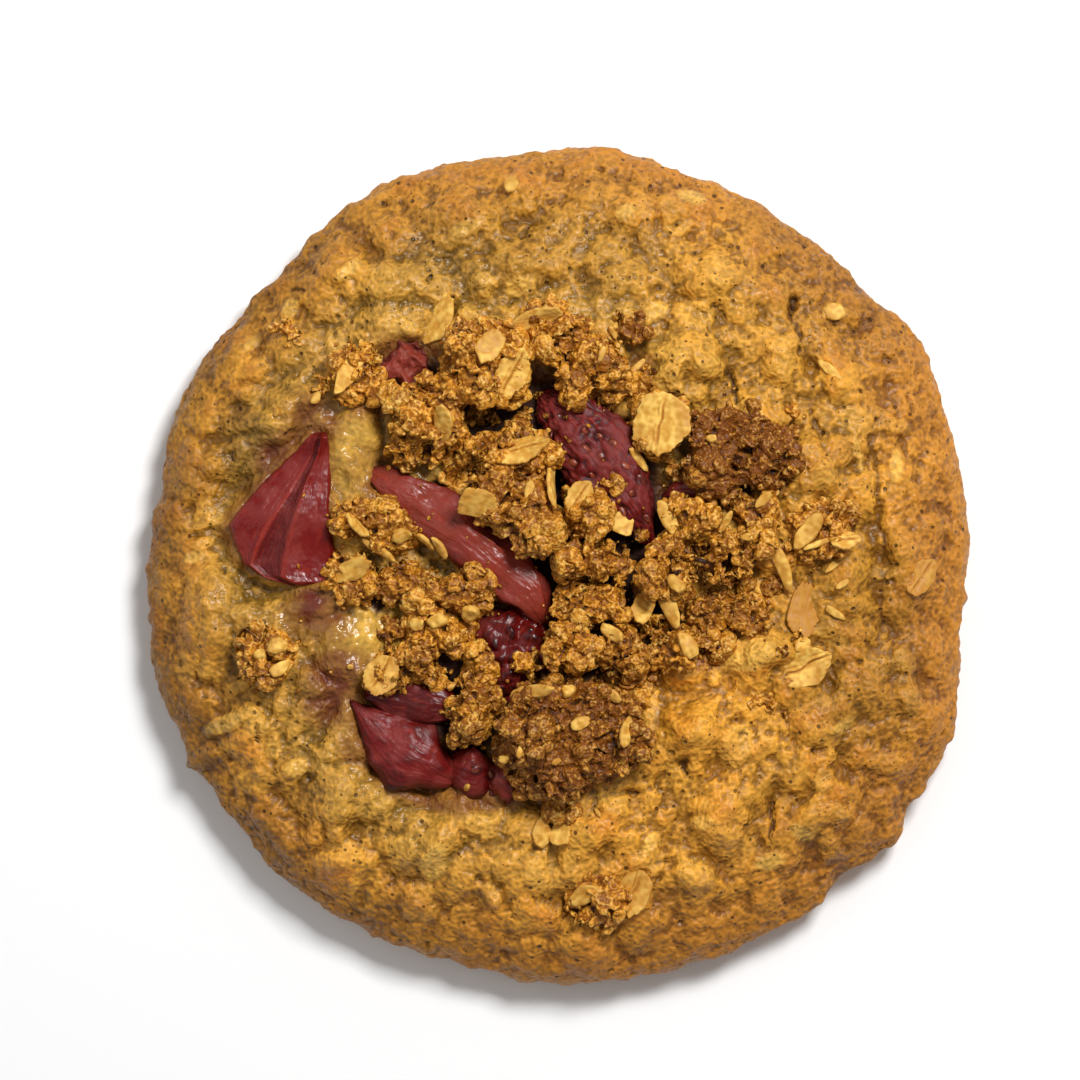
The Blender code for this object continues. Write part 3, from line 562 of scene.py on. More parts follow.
def remeshed(bm, voxel):
    # the outer skin of whatever lies in the bmesh, both in millimetres
    mesh = bpy.data.meshes.new("raw")
    bm.to_mesh(mesh)
    bm.free()
    raw = bpy.data.objects.new("raw", mesh)
    bpy.context.scene.collection.objects.link(raw)
    modifier = raw.modifiers.new("skin", "REMESH")
    modifier.mode = "VOXEL"
    modifier.voxel_size = voxel
    bpy.context.view_layer.update()
    graph = bpy.context.evaluated_depsgraph_get()
    skin = bpy.data.meshes.new_from_object(raw.evaluated_get(graph))
    made = bmesh.new()
    made.from_mesh(skin)
    bpy.data.objects.remove(raw)
    bpy.data.meshes.remove(mesh)
    bpy.data.meshes.remove(skin)
    return made


def smoothStep(value, low, high):
    share = np.clip((value - low) / (high - low), 0.0, 1.0)
    return share * share * (3.0 - 2.0 * share)


def inOvals(x, y, ovals, low, high, drift=0.0, weighted=False):
    # 1 well inside any of the ovals and 0 outside, or up to each oval's last value where weighted
    most = np.zeros(len(x))
    for oval in ovals:
        share = 1.0 - smoothStep(ovalReach(x, y, oval) + drift, low, high)
        most = np.maximum(most, share * oval[5] if weighted else share)
    return most


def turnedPlace(x, y, direction, along, across):
    # a place given along and across a piece, in the cookie's own x and y
    turn = math.radians(direction)
    return (x + along * math.cos(turn) - across * math.sin(turn),
            y + along * math.sin(turn) + across * math.cos(turn))


def standOn(normal):
    # turns what stands upright to stand along a surface's normal
    return Vector((0.0, 0.0, 1.0)).rotation_difference(normal).to_matrix().to_4x4()


def placeVertices(bm, places):
    for vert, place in zip(bm.verts, places):
        vert.co = place


# ---- strawberry: the paths and girths, as the solids have them, with what the finish needs

fruit = {
    "strawberry_wedge": dict(
        path=((-31.3, 17.0, 0.4), (-33.4, 11.2, 0.7), (-35.8, 4.6, 0.8), (-35.6, 0.2, 0.3),
              (-35.0, -3.3, -0.5)),
        girth=(1.2, 4.3, 6.7, 6.0, 2.9), rise=3.4, sink=2.6, kind="wedge", darkening=0.0, even=0.45,
    ),
    "strawberry_half_sunk": dict(
        path=((-23.8, 24.3, 0.0), (-20.0, 26.2, 0.4), (-16.6, 27.6, 0.0)),
        girth=(1.8, 2.9, 1.7), rise=1.0, sink=1.6, kind="crumpled", darkening=0.1, pink=1.0, matte=1.0,
        ragged=0.3,
    ),
    "strawberry_ribbon": dict(
        path=((-25.0, 12.4, 0.0), (-21.0, 10.2, 0.8), (-16.6, 7.4, 1.3), (-11.6, 3.6, 1.7),
              (-6.8, -0.8, 1.9), (-3.2, -4.4, 1.6), (-1.6, -7.6, 0.8)),
        girth=(2.2, 3.4, 3.5, 3.5, 3.7, 3.6, 2.2), rise=2.6, sink=2.2, kind="fibres", darkening=0.0,
        pink=0.75, ragged=0.26,
    ),
    "strawberry_crumpled": dict(
        path=((-3.0, -5.4, -0.4), (-5.4, -9.2, 0.6), (-6.6, -13.4, 0.5), (-6.8, -17.4, -0.4)),
        girth=(3.2, 5.4, 4.4, 2.0), rise=2.8, sink=2.2, kind="crumpled", darkening=0.55,
    ),
    "strawberry_seeded": dict(
        path=((-2.6, 22.4, -0.2), (1.0, 19.2, 1.2), (5.0, 14.2, 2.0), (8.8, 8.6, 1.8), (12.4, 2.6, -0.2)),
        girth=(3.0, 5.0, 5.4, 4.7, 2.2), rise=3.3, sink=2.8, kind="dimpled", darkening=0.4, matte=1.0,
    ),
    "strawberry_lens": dict(
        path=((-25.4, -16.6, -0.2), (-20.6, -17.4, 0.8), (-15.6, -18.2, 0.9), (-11.4, -18.6, -0.2)),
        girth=(1.6, 2.9, 2.8, 1.6), rise=2.2, sink=1.9, kind="fibres", darkening=0.7, matte=0.4,
    ),
    "strawberry_pear": dict(
        path=((-27.0, -17.4, -0.2), (-23.0, -21.4, 1.0), (-18.6, -25.0, 1.4), (-13.4, -28.0, 0.2)),
        girth=(0.9, 3.6, 5.0, 2.6), rise=3.2, sink=2.5, kind="fibres", darkening=0.0, matte=0.6,
    ),
    "strawberry_tip": dict(
        path=((-14.4, -25.4, 0.4), (-11.4, -26.4, 0.9), (-8.4, -26.0, 0.2)),
        girth=(2.2, 3.5, 2.2), rise=2.5, sink=2.0, kind="fibres", darkening=0.4,
    ),
    "strawberry_flat": dict(
        path=((-10.4, -28.2, -0.2), (-6.6, -27.9, 0.4), (-3.0, -27.2, -0.4)),
        girth=(1.8, 2.3, 1.4), rise=1.8, sink=1.6, kind="crumpled", darkening=0.2, pink=0.5,
    ),
    "strawberry_sliver": dict(
        path=((13.4, 9.0, -0.2), (17.0, 9.8, 0.5), (20.8, 10.2, -0.2)),
        girth=(1.1, 1.7, 0.9), rise=1.6, sink=1.4, kind="fibres", darkening=0.5,
    ),
}

# the largest slice, cut in three faces: y, then the x of its left edge, its two ridges and its right edge
wedgeRows = (
    (17.5, -31.9, -31.2, -30.7, -30.2), (15.8, -33.5, -31.7, -30.9, -29.7),
    (14.3, -35.1, -32.1, -31.4, -29.5), (11.0, -38.6, -34.0, -32.8, -29.4),
    (8.0, -41.2, -35.9, -33.7, -29.3), (5.4, -43.0, -37.6, -34.5, -29.1),
    (2.8, -42.2, -39.1, -35.2, -28.8), (0.2, -40.9, -40.1, -35.7, -28.6),
    (-1.4, -38.6, -38.2, -36.0, -28.8), (-2.7, -34.4, -34.0, -33.2, -29.2),
)
wedgeHeights = (0.42, 0.66, 0.98, 0.86)  # share of the rise at the same four places


# ---- crumble as the solids have it: x, y, length, width, direction, height, lift, seed, and how browned

clumps = {
    "crumble_knuckle": (-23.6, 5.4, 10.0, 6.8, -8, 5.6, 1.2, 11, 0.1),
    "crumble_west": (-26.6, -1.6, 7.4, 6.6, 60, 5.2, 1.0, 12, 0.1),
    "crumble_pebble": (-20.3, -1.4, 6.2, 5.8, 40, 5.4, 1.4, 13, 0.2),
    "crumble_cheek": (-16.8, 18.9, 12.4, 10.2, 75, 8.6, 2.0, 14, 0.05),
    "crumble_crown": (-9.5, 26.0, 12.0, 11.0, 95, 9.2, 2.3, 15, 0.05),
    "crumble_ridge": (2.8, 27.0, 16.0, 9.6, -48, 7.6, 1.8, 16, 0.15),
    "crumble_brow": (-5.8, 14.8, 12.0, 7.0, 4, 6.6, 3.2, 17, 0.1),
    "crumble_heart": (-5.2, 7.6, 15.4, 9.6, -42, 9.4, 3.0, 18, 0.35),
    "crumble_saddle": (-12.6, -3.6, 9.8, 6.8, 5, 7.0, 2.4, 19, 0.35),
    "crumble_heel": (-16.0, -8.4, 8.8, 6.6, -10, 6.6, 2.2, 20, 0.0),
    "crumble_ledge": (-20.4, -13.2, 11.2, 6.0, -4, 5.6, 1.8, 21, 0.1),
    "crumble_bean": (3.7, 7.4, 8.0, 6.6, 90, 6.2, 3.2, 22, 0.2),
    "crumble_nugget": (4.4, 1.0, 9.4, 6.2, -5, 7.0, 3.0, 23, 0.15),
    "crumble_twin": (4.3, -4.8, 9.4, 6.6, 5, 6.8, 2.6, 24, 0.15),
    "crumble_ball": (1.4, -10.4, 7.4, 7.4, 0, 7.8, 3.0, 25, 0.15),
    "crumble_stack": (7.9, -11.2, 7.6, 7.0, 90, 6.8, 2.4, 26, 0.35),
    "crumble_inner": (14.4, -0.4, 9.0, 8.2, 60, 7.0, 2.2, 27, 0.2),
    "crumble_bridge": (17.2, 6.0, 9.0, 6.4, -20, 5.8, 2.2, 28, 0.05),
    "crumble_dark": (23.5, 15.2, 15.6, 10.4, -12, 7.0, 1.6, 29, 0.85),
    "crumble_plinth": (13.2, 18.2, 8.0, 7.2, 20, 5.8, 1.8, 30, 0.2),
    "crumble_east": (21.9, 0.9, 8.2, 7.4, 50, 6.4, 1.8, 31, 0.15),
    "crumble_crumb": (25.6, 7.0, 6.4, 5.2, 80, 4.8, 1.2, 32, 0.15),
    "crumble_south": (15.0, -10.8, 7.6, 5.6, 20, 5.4, 1.6, 33, 0.2),
    "crumble_spill": (24.4, -6.2, 7.4, 5.4, -20, 4.4, 1.0, 34, 0.3),
    "crumble_pillar": (-11.3, -18.4, 10.8, 6.2, 78, 7.4, 2.6, 35, 0.3),
    "crumble_peak": (1.0, -22.2, 18.4, 15.0, 8, 9.8, 2.3, 36, 0.75),
    "crumble_shelf": (-26.4, 25.2, 9.2, 6.6, 55, 4.6, 1.0, 47, 0.0),
    "crumble_nest": (34.0, 4.4, 9.0, 7.8, 10, 4.2, 0.4, 38, 0.2),
    "crumble_lone": (-37.5, -11.7, 7.4, 6.6, 20, 4.2, 0.8, 39, 0.0),
    "crumble_sunk": (4.6, -43.6, 8.8, 7.8, 10, 3.6, 0.2, 40, 0.1),
}


# ---- dough

doughLook = {
    "cells": 286, "rimPacking": 0.75, "sideRings": 11, "baseRings": 3, "baseShrink": 0.72,
    "skinOats": 210, "skinOatLength": (3.2, 6.8), "skinOatRise": (0.3, 0.75),
    "pillows": ((8.5, 1.3), (3.4, 0.34)),  # size and rise
    "grain": ((0.45, 0.26), (1.3, 0.2)),  # waves a millimetre and rise, as in the next one
    "rimGrain": ((0.28, 0.5), (0.6, 0.22)),
    "pitSize": 2.1, "pitDepth": 0.6, "hug": 1.3, "wetCalm": 0.35,
    "swell": (140, 1.3), "proud": (5, 0.16),  # rounds of smoothing and span
    "brownSide": -25.0, "shadedSide": 185.0, "khakiSide": 145.0,  # directions
    "bakedRim": (0.80, 1.04), "shadedRim": (0.82, 0.99), "shadeStrength": 0.52,
    "fruitWet": 0.35, "fruitStain": 0.8, "crackShade": 0.75,
    "crackBend": ((0.7, 0.45), (0.35, 1.3)),  # how far sideways and waves a millimetre
    "crackTaper": 0.6,
}

# oats that show through the skin: x, y, length, width, direction, rise
bareOats = (
    (-27.4, 38.5, 4.6, 1.9, 40, 0.5), (-35.0, 33.7, 3.0, 2.4, 60, 0.3),
    (-43.6, -20.6, 7.0, 2.4, 25, 0.6), (-34.2, -26.3, 3.4, 2.6, 20, 0.4),
    (8.7, 46.2, 3.2, 2.0, 30, 0.3), (39.0, 14.5, 6.4, 0.9, 104, 0.3), (24.6, -11.4, 8.0, 5.0, 20, 0.5),
    (25.0, -2.7, 4.0, 2.6, -20, 0.4), (36.9, -20.8, 3.6, 1.6, 40, 0.3),
    (31.6, -34.6, 4.0, 2.0, -30, 0.3), (18.5, -33.3, 3.4, 2.2, 10, 0.3),
    (17.4, 48.2, 4.4, 2.0, -15, 0.3), (-16.2, -38.4, 5.6, 3.8, 70, 0.4),
    (-40.0, 29.0, 3.0, 1.6, 40, 0.2), (-30.6, 19.4, 3.2, 2.0, 30, 0.2), (12.5, 33.0, 4.0, 2.4, 30, 0.3),
    (-12.0, 44.0, 4.8, 2.2, 20, 0.3), (-47.5, 1.2, 3.6, 1.6, 20, 0.3), (36.0, 33.2, 3.4, 2.4, 0, 0.4),
    (-6.2, 49.8, 2.4, 1.8, 60, 0.3), (44.0, 13.0, 5.0, 1.8, 85, 0.3), (-5.0, 36.4, 4.4, 2.6, 10, 0.3),
    (27.5, -38.5, 4.6, 2.4, 15, 0.3), (12.0, -36.0, 3.6, 2.0, 60, 0.3),
)

# darker parts of the crust: x, y, length, width, direction, strength
darkerParts = (
    (-12.0, 44.0, 36.0, 16.0, 5, 0.28), (38.0, -9.0, 22.0, 34.0, 0, 0.34),
    (-38.0, 30.0, 26.0, 16.0, 45, 0.2), (4.0, 42.0, 26.0, 20.0, 0, 0.18),
    (-41.0, 15.5, 10.0, 14.0, 20, 0.42), (34.0, 38.0, 34.0, 20.0, -40, 0.24),
    (33.0, 14.0, 16.0, 18.0, 0, 0.2), (-44.0, -7.0, 14.0, 18.0, 0, 0.2),
    (8.0, 49.0, 32.0, 10.0, -5, 0.16), (32.0, -31.0, 22.0, 20.0, 0, 0.14),
)

# wet, smooth dough between the fruit: x, y, length, width, direction, rise
wetPatches = (
    (-26.8, 14.6, 13.0, 6.6, 82, 1.4), (-27.2, -9.4, 9.0, 7.0, 60, 0.8),
    (-31.8, -6.4, 9.0, 5.0, 0, 0.5), (-17.4, 12.8, 7.0, 4.0, 20, 0.4), (-28.8, 21.0, 6.0, 4.0, 20, 0.2),
    (-20.6, -8.0, 7.0, 6.0, 30, 0.3),
)

# what shows of the dough deep between the clumps is painted dark as shade: x, y, length, width, direction
deepGaps = (
    (-2.0, 9.0, 36.0, 30.0, -45), (6.0, -8.0, 19.0, 14.0, 0), (-13.5, -16.0, 19.0, 16.0, -30),
    (-20.5, -6.0, 8.0, 9.0, 0), (22.0, 11.0, 14.0, 8.0, -10), (2.0, -22.0, 16.0, 12.0, 0),
    (-12.0, 24.0, 16.0, 12.0, 20),
)

# strawberry juice in the dough: x, y, reach, strength
stains = (
    (-31.4, -5.2, 5.2, 1.0), (-33.6, -6.4, 3.6, 0.8), (-31.4, 19.6, 5.2, 0.85), (-25.4, 21.4, 3.8, 0.8),
    (-28.6, -14.6, 5.0, 1.0), (10.7, 26.3, 2.4, 0.5), (17.9, -11.0, 3.2, 0.7), (-36.4, 13.6, 4.2, 0.8),
    (-3.0, -30.0, 3.0, 0.4), (20.5, 9.8, 3.4, 0.6), (-22.8, 27.6, 3.2, 0.4), (-29.4, -7.6, 3.2, 0.7),
    (-29.6, -18.0, 4.4, 0.9), (-26.4, -23.4, 3.4, 0.7), (-39.6, 9.2, 3.0, 0.6),
    (-34.4, 16.0, 3.4, 0.75), (-21.0, -28.4, 2.4, 0.3), (-41.8, 2.6, 2.2, 0.4),
)

# cracks and holes: from x, y to x, y, half width, depth
cracks = (
    (30.3, 34.7, 30.5, 33.2, 0.5, 1.8), (30.5, 33.2, 31.8, 26.8, 0.35, 0.8),
    (22.2, 25.7, 23.1, 21.1, 0.5, 1.2), (27.7, -30.7, 27.9, -35.9, 0.45, 0.8),
    (16.2, -25.2, 16.9, -27.2, 0.45, 1.2), (26.0, 26.8, 26.3, 24.6, 0.35, 0.6),
    (36.0, -23.4, 36.8, -25.4, 0.35, 0.6), (39.4, -26.0, 40.0, -27.6, 0.35, 0.6),
    (40.6, 16.5, 42.4, 2.0, 0.7, 0.6), (42.4, 2.0, 41.8, -9.6, 0.7, 0.5),
    (7.2, 36.8, 7.6, 36.8, 0.4, 0.7), (13.1, 36.2, 13.5, 36.1, 0.45, 0.8),
    (20.0, 33.9, 20.3, 33.8, 0.4, 0.8), (14.2, 31.3, 14.5, 31.3, 0.4, 0.7),
    (39.0, -12.6, 39.3, -12.5, 0.45, 0.8), (23.6, -21.5, 24.0, -21.5, 0.5, 0.9),
    (-16.6, 37.4, -16.0, 37.2, 0.4, 0.9), (-34.8, 36.0, -33.2, 35.8, 0.35, 0.8),
    (-28.6, 32.5, -28.4, 32.4, 0.35, 0.7), (-29.5, 30.6, -29.3, 29.8, 0.4, 0.8),
    (-22.8, 47.1, -22.0, 46.9, 0.4, 0.7), (-30.0, 43.5, -29.2, 42.4, 0.35, 0.8),
    (-32.2, -27.8, -32.0, -28.0, 0.45, 0.9), (-39.4, -21.0, -38.8, -23.0, 0.4, 0.9),
    (-49.6, -12.6, -49.4, -13.2, 0.4, 0.8), (-46.4, -16.8, -46.0, -17.2, 0.45, 0.8),
    (-43.6, 0.0, -43.3, -0.6, 0.45, 0.9), (-23.0, -38.2, -21.4, -37.6, 0.35, 0.7),
    (-12.6, -34.6, -12.2, -36.4, 0.3, 0.6), (-10.4, -40.6, -9.0, -41.0, 0.4, 0.7),
    (33.2, 19.0, 33.8, 16.8, 0.35, 0.6), (29.6, 17.4, 30.4, 18.8, 0.4, 0.9),
    (45.6, 22.0, 46.4, 20.0, 0.3, 0.6), (9.0, -29.4, 10.6, -29.0, 0.35, 0.6),
    (12.8, -39.0, 14.4, -38.4, 0.4, 0.7), (-43.0, 15.0, -42.4, 13.6, 0.35, 0.7),
)


def curvePoint(points, share):
    # a smooth curve through evenly shared points, or through values that go with them
    last = len(points) - 1
    step = min(int(share * last), last - 1)
    t = share * last - step
    before, after = points[max(step - 1, 0)], points[min(step + 2, last)]
    start, end = points[step], points[step + 1]
    return 0.5 * (2.0 * start + (end - before) * t + (2.0 * before - 5.0 * start + 4.0 * end - after) * t * t
                  + (3.0 * start - before - 3.0 * end + after) * t ** 3)


def fruitDistance(x, y):
    # distance to the nearest edge of any strawberry, less than nothing over it
    rows = np.array(wedgeRows)[::-1]
    left = np.interp(y, rows[:, 0], rows[:, 1])
    right = np.interp(y, rows[:, 0], rows[:, 4])
    least = np.maximum(np.maximum(left - x, x - right) * 0.8, np.maximum(y - rows[-1, 0], rows[0, 0] - y))
    slugs = [berry for berry in fruit.values() if berry["kind"] != "wedge"]
    steps = 12
    for berry in slugs:
        points = [Vector(spot[:2]) for spot in berry["path"]]
        for step in range(steps + 1):
            spot = curvePoint(points, step / steps)
            half = curvePoint(berry["girth"], step / steps)
            least = np.minimum(least, np.hypot(x - spot.x, y - spot.y) - half)
    return least


def wanderAt(x, y, z):
    return noise.noise(Vector((x, y, z)))


wander = np.vectorize(wanderAt)


def skinOats(x, y):
    # oats that swell the skin from below, at random: their rise and how pale they show
    rng = random.Random(5)
    relief, pale = np.zeros(len(x)), np.zeros(len(x))
    for item in range(doughLook["skinOats"]):
        far = 51.0 * math.sqrt(rng.random())
        angle = rng.uniform(0.0, math.tau)
        length = rng.uniform(*doughLook["skinOatLength"])
        oval = (far * math.cos(angle), far * math.sin(angle), length, length * rng.uniform(0.5, 0.75),
                rng.uniform(0.0, 180.0))
        rise = rng.uniform(*doughLook["skinOatRise"])
        reach = ovalReach(x, y, oval)
        relief = np.maximum(relief, rise * (1.0 - smoothStep(reach, 0.4, 1.3)))
        pale = np.maximum(pale, (rise - 0.3) * 1.2 * (1.0 - smoothStep(reach, 0.5, 1.1)))
    return relief, pale


def pillowAt(x, y):
    # pillowy swellings with narrow valleys between them
    relief = 0.0
    for size, rise in doughLook["pillows"]:
        place = Vector((x, y, 3.0 * size)) / size
        relief += rise * (abs(noise.noise(place)) * 2.2 - 0.5)
    return relief


pillowRelief = np.vectorize(pillowAt)


def crackDepth(x, y):
    # wandering cracks and holes
    (bend, step), (fineBend, fineStep) = doughLook["crackBend"]
    x = x + bend * wander(x * step, y * step, 3.0) + fineBend * wander(x * fineStep, y * fineStep, 5.0)
    y = y + bend * wander(x * step, y * step, 9.0)
    depth = np.zeros(len(x))
    for startX, startY, endX, endY, width, deep in cracks:
        runX, runY = endX - startX, endY - startY
        share = np.clip(((x - startX) * runX + (y - startY) * runY) / (runX ** 2 + runY ** 2), 0.0, 1.0)
        off = np.hypot(x - startX - share * runX, y - startY - share * runY)
        narrow = width * (1.0 - doughLook["crackTaper"] * share)
        depth = np.maximum(depth, deep * np.exp(-((off / narrow) ** 2)))
    return depth


def fineRelief(place):
    # bready grain and pits along the surface's normal, and coarser grain on the rim
    toRim = min(max((10.0 - place.z) / 4.0, 0.0), 1.0)
    place = skew @ place
    relief = sum(rise * noise.noise(place * step + Vector((0.0, 0.0, 17.0 * step)))
                 for step, rise in doughLook["grain"])
    if toRim > 0.0:
        relief += toRim * sum(rise * noise.noise(place * step + Vector((0.0, 40.0 * step, 0.0)))
                              for step, rise in doughLook["rimGrain"])
    near, points = noise.voronoi(place / doughLook["pitSize"])
    if near[0] < 0.2 and noise.noise(points[0] * 3.7) > 0.05:
        relief -= doughLook["pitDepth"] * (1.0 - near[0] / 0.2)
    return relief


def skinHeight(x, y, packed):
    # the height of the skin, and how calm it is where the dough is wet
    calm = inOvals(x, y, wetPatches, 0.5, 1.5)
    lift = inOvals(x, y, wetPatches, 0.5, 1.5, weighted=True)
    shown = inOvals(x, y, bareOats, 0.6, 1.2, weighted=True)
    rimFade = 1.0 - smoothStep(packed, 0.93, 1.0)
    outside = 1.0 - smoothStep(x + 0.25 * y, -24.0, -17.0)
    hug = doughLook["hug"]  # the dough rises a little against the fruit
    lift = np.maximum(lift, hug * outside * np.exp(-((fruitDistance(x, y) / hug) ** 2)))
    z = doughHeight(x, y)
    z = z + lift + (1.0 - calm) * rimFade * (skinOats(x, y)[0] + pillowRelief(x, y) + shown)
    return z - rimFade * crackDepth(x, y), calm


def addSide(bm):
    # rings down the swollen side to its tucked foot, then inwards under the dough
    form, look = doughForm, doughLook
    edges = [edge for edge in bm.edges if edge.is_boundary]
    for ring in range(1, look["sideRings"] + look["baseRings"] + 1):
        made = bmesh.ops.extrude_edge_only(bm, edges=edges)["geom"]
        edges = [item for item in made if isinstance(item, bmesh.types.BMEdge)]
        height = max(form["belly"] * (1.0 - ring / look["sideRings"]), 0.0)
        tuck = 1.0 - math.sqrt(max(1.0 - (1.0 - height / form["belly"]) ** 2, 0.0))
        shrink = look["baseShrink"] ** max(ring - look["sideRings"], 0)
        for vert in (item for item in made if isinstance(item, bmesh.types.BMVert)):
            angle = math.atan2(vert.co.y, vert.co.x)
            out = (radiusAt(angle) - form["footInset"] * tuck) * shrink
            vert.co = (math.cos(angle) * out, math.sin(angle) * out, height)
    bmesh.ops.holes_fill(bm, edges=[edge for edge in bm.edges if edge.is_boundary])


def makeDough():
    look = doughLook
    bm = bmesh.new()
    bmesh.ops.create_grid(bm, x_segments=look["cells"], y_segments=look["cells"], size=1.0)
    flat = np.array([vert.co for vert in bm.verts])
    discX = flat[:, 0] * np.sqrt(1.0 - flat[:, 1] ** 2 / 2.0)
    discY = flat[:, 1] * np.sqrt(1.0 - flat[:, 0] ** 2 / 2.0)
    share = np.minimum(np.hypot(discX, discY), 1.0)
    packed = 1.0 - (1.0 - share) * (1.0 - look["rimPacking"] * share ** 12)  # finer faces on the steep rim
    reach = outlineRadius(np.arctan2(discY, discX)) * packed / np.maximum(share, 1e-9)
    x, y = discX * reach, discY * reach
    z, calm = skinHeight(x, y, packed)
    placeVertices(bm, zip(x, y, z))
    addSide(bm)
    bmesh.ops.recalc_face_normals(bm, faces=bm.faces)
    bm.normal_update()
    quiet = list(look["wetCalm"] * calm) + [0.0] * (len(bm.verts) - len(calm))
    moved = []
    for vert, still in zip(bm.verts, quiet):
        foot = float(smoothStep(vert.co.z, 0.0, 1.2))
        moved.append(vert.co + vert.normal * fineRelief(vert.co) * foot * (1.0 - still))
    placeVertices(bm, moved)
    bmesh.ops.triangulate(bm, faces=[face for face in bm.faces if len(face.verts) > 4])  # the filled hole
    dough = newPiece("dough", bm, doughFinish)
    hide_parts("cookie")
    markDough(dough.data)
    return dough


def facing(angle, direction):
    # 1 on the side of the cookie that lies in a direction, 0 opposite
    return 0.5 + 0.5 * np.cos(angle - math.radians(direction))


def markDough(mesh):
    # what the finish needs to know about each place of the dough
    look = doughLook
    x, y, z = (placesOf(mesh) / mm).T
    angle = np.arctan2(y, x)
    share = np.hypot(x, y) / outlineRadius(angle)
    drift = np.array([noise.noise(Vector((px, py, 2.0)) * 0.11) for px, py in zip(x, y)])
    top = z > 6.0
    markStanding(mesh, "swell", *look["swell"])
    markStanding(mesh, "proud", *look["proud"])

    # browner towards the rim, and most on the right and lower sides
    side = facing(angle, look["brownSide"])
    bake = smoothStep(share + 0.10 * side + 0.10 * drift, *look["bakedRim"])
    bake = np.maximum(bake, smoothStep(8.0 - z, 0.0, 3.0))
    setValues(mesh, "bake", bake * (0.55 + 0.45 * side))

    # wet in the patches and close to the fruit, and stained by its juice
    patches = inOvals(x, y, wetPatches, 0.4, 1.4, drift=0.8 * drift)
    away = fruitDistance(x, y)
    ragged = away + 1.6 * drift
    wet = np.maximum(patches, look["fruitWet"] * (1.0 - smoothStep(ragged, 0.6, 3.2)))
    setValues(mesh, "wet", wet * top)
    stain = look["fruitStain"] * (1.0 - smoothStep(ragged, -0.2, 1.8)) * (1.0 - 0.5 * patches)
    for spotX, spotY, reach, strength in stains:
        off = np.hypot(x - spotX, y - spotY) / reach
        stain = np.maximum(stain, strength * (1.0 - smoothStep(off + 0.35 * drift, 0.35, 1.15)))
    setValues(mesh, "stain", stain * top)

    # painted shade: dark between the clumps and in the cracks
    gap = inOvals(x, y, deepGaps, 0.6, 1.15, drift=0.8 * drift) * (1.0 - smoothStep(patches, 0.3, 0.8))
    gap = np.maximum(gap, look["crackShade"] * smoothStep(crackDepth(x, y), 0.3, 0.9))
    setValues(mesh, "gap", gap * top)

    # painted shade on the left rim, the side away from the lamp, and darker in the listed patches
    shade = look["shadeStrength"] * smoothStep(share + 0.06 * drift, *look["shadedRim"])
    shade = shade * facing(angle, look["shadedSide"]) ** 1.5
    shade = np.maximum(shade, inOvals(x, y, darkerParts, 0.2, 1.3, drift=0.5 * drift, weighted=True))
    setValues(mesh, "shade", shade)

    # khaki on the upper left and round the fruit
    olive = 0.2 + 0.8 * facing(angle, look["khakiSide"]) + 0.4 * (1.0 - smoothStep(away, 2.0, 14.0))
    olive = olive * (1.0 - smoothStep(share, 0.74, 0.96)) + 0.4 * drift
    setValues(mesh, "olive", np.clip(olive, 0.0, 1.0))

    # pale where oats show
    pale = skinOats(x, y)[1] * (1.0 - 0.6 * bake)
    pale = np.maximum(pale, inOvals(x, y, bareOats, 0.4, 1.1))
    setValues(mesh, "pale", pale * top)


dough = makeDough()
print("dough", len(dough.data.polygons))


# ---- fruit pieces

fruitLook = {
    "around": 90, "along": 76, "seedSize": (1.6, 1.0, 0.5), "seedLift": 0.03,
    "dimpleReach": 1.05, "dimpleDepth": 0.45, "beadRise": 0.4, "wrinkleDepth": 0.46,
    "ragged": 0.12, "edgeShade": 0.9, "middleFaceShade": 0.5, "proud": (12, 0.35),
}

# seeds in the outer skin: x, y
seedPlaces = (
    (5.2, 16.9), (3.6, 15.3), (5.6, 14.4), (8.6, 13.0), (4.3, 11.7), (9.6, 9.4), (7.0, 11.9),
    (3.5, 17.4), (10.7, 11.3), (0.4, 19.3), (8.3, 7.2), (11.4, 6.2), (1.8, 13.4), (6.0, 9.2),
    (-1.0, 17.2), (7.0, 16.0), (10.2, 4.0), (-8.8, -27.2), (-10.7, -26.3), (-5.6, -28.0),
)
# juice beads on the wet edge of the largest slice: x, y
beadPlaces = (
    (-36.2, 12.7), (-37.9, 10.9), (-39.4, 9.0), (-37.0, 14.0), (-38.5, 12.2), (-40.6, 7.4), (-34.4, 15.4),
)


def wedgeSpot(berry, path, share, ring):
    # a point of the slice and how many faces along it lies; columns keep to the ridges, so these stay crisp
    last = len(wedgeRows) - 1
    step = min(int(share * last), last - 1)
    mix = share * last - step
    row = [low * (1.0 - mix) + high * mix for low, high in zip(wedgeRows[step], wedgeRows[step + 1])]
    z = curvePoint(path, share).z
    closing = min(share / 0.05, 1.0, (1.0 - share) / 0.05) ** 0.5
    if ring.y <= 0.0:
        across = 0.5 - 0.5 * ring.x
        x = row[1] + (row[4] - row[1]) * across
        return Vector((x, row[0], z - closing * berry["sink"] * abs(ring.y))), 0.0
    turn = 3.0 * math.acos(max(min(ring.x, 1.0), -1.0)) / math.pi
    face = min(int(turn), 2)
    part = turn - face
    x = row[face + 1] * (1.0 - part) + row[face + 2] * part
    height = wedgeHeights[face] * (1.0 - part) + wedgeHeights[face + 1] * part
    height -= (0.05, 0.14, 0.03)[face] * 4.0 * part * (1.0 - part)
    edge = min(turn / 0.14, 1.0, (3.0 - turn) / 0.14) ** 0.5
    return Vector((x, row[0], z + closing * edge * height * berry["rise"])), turn


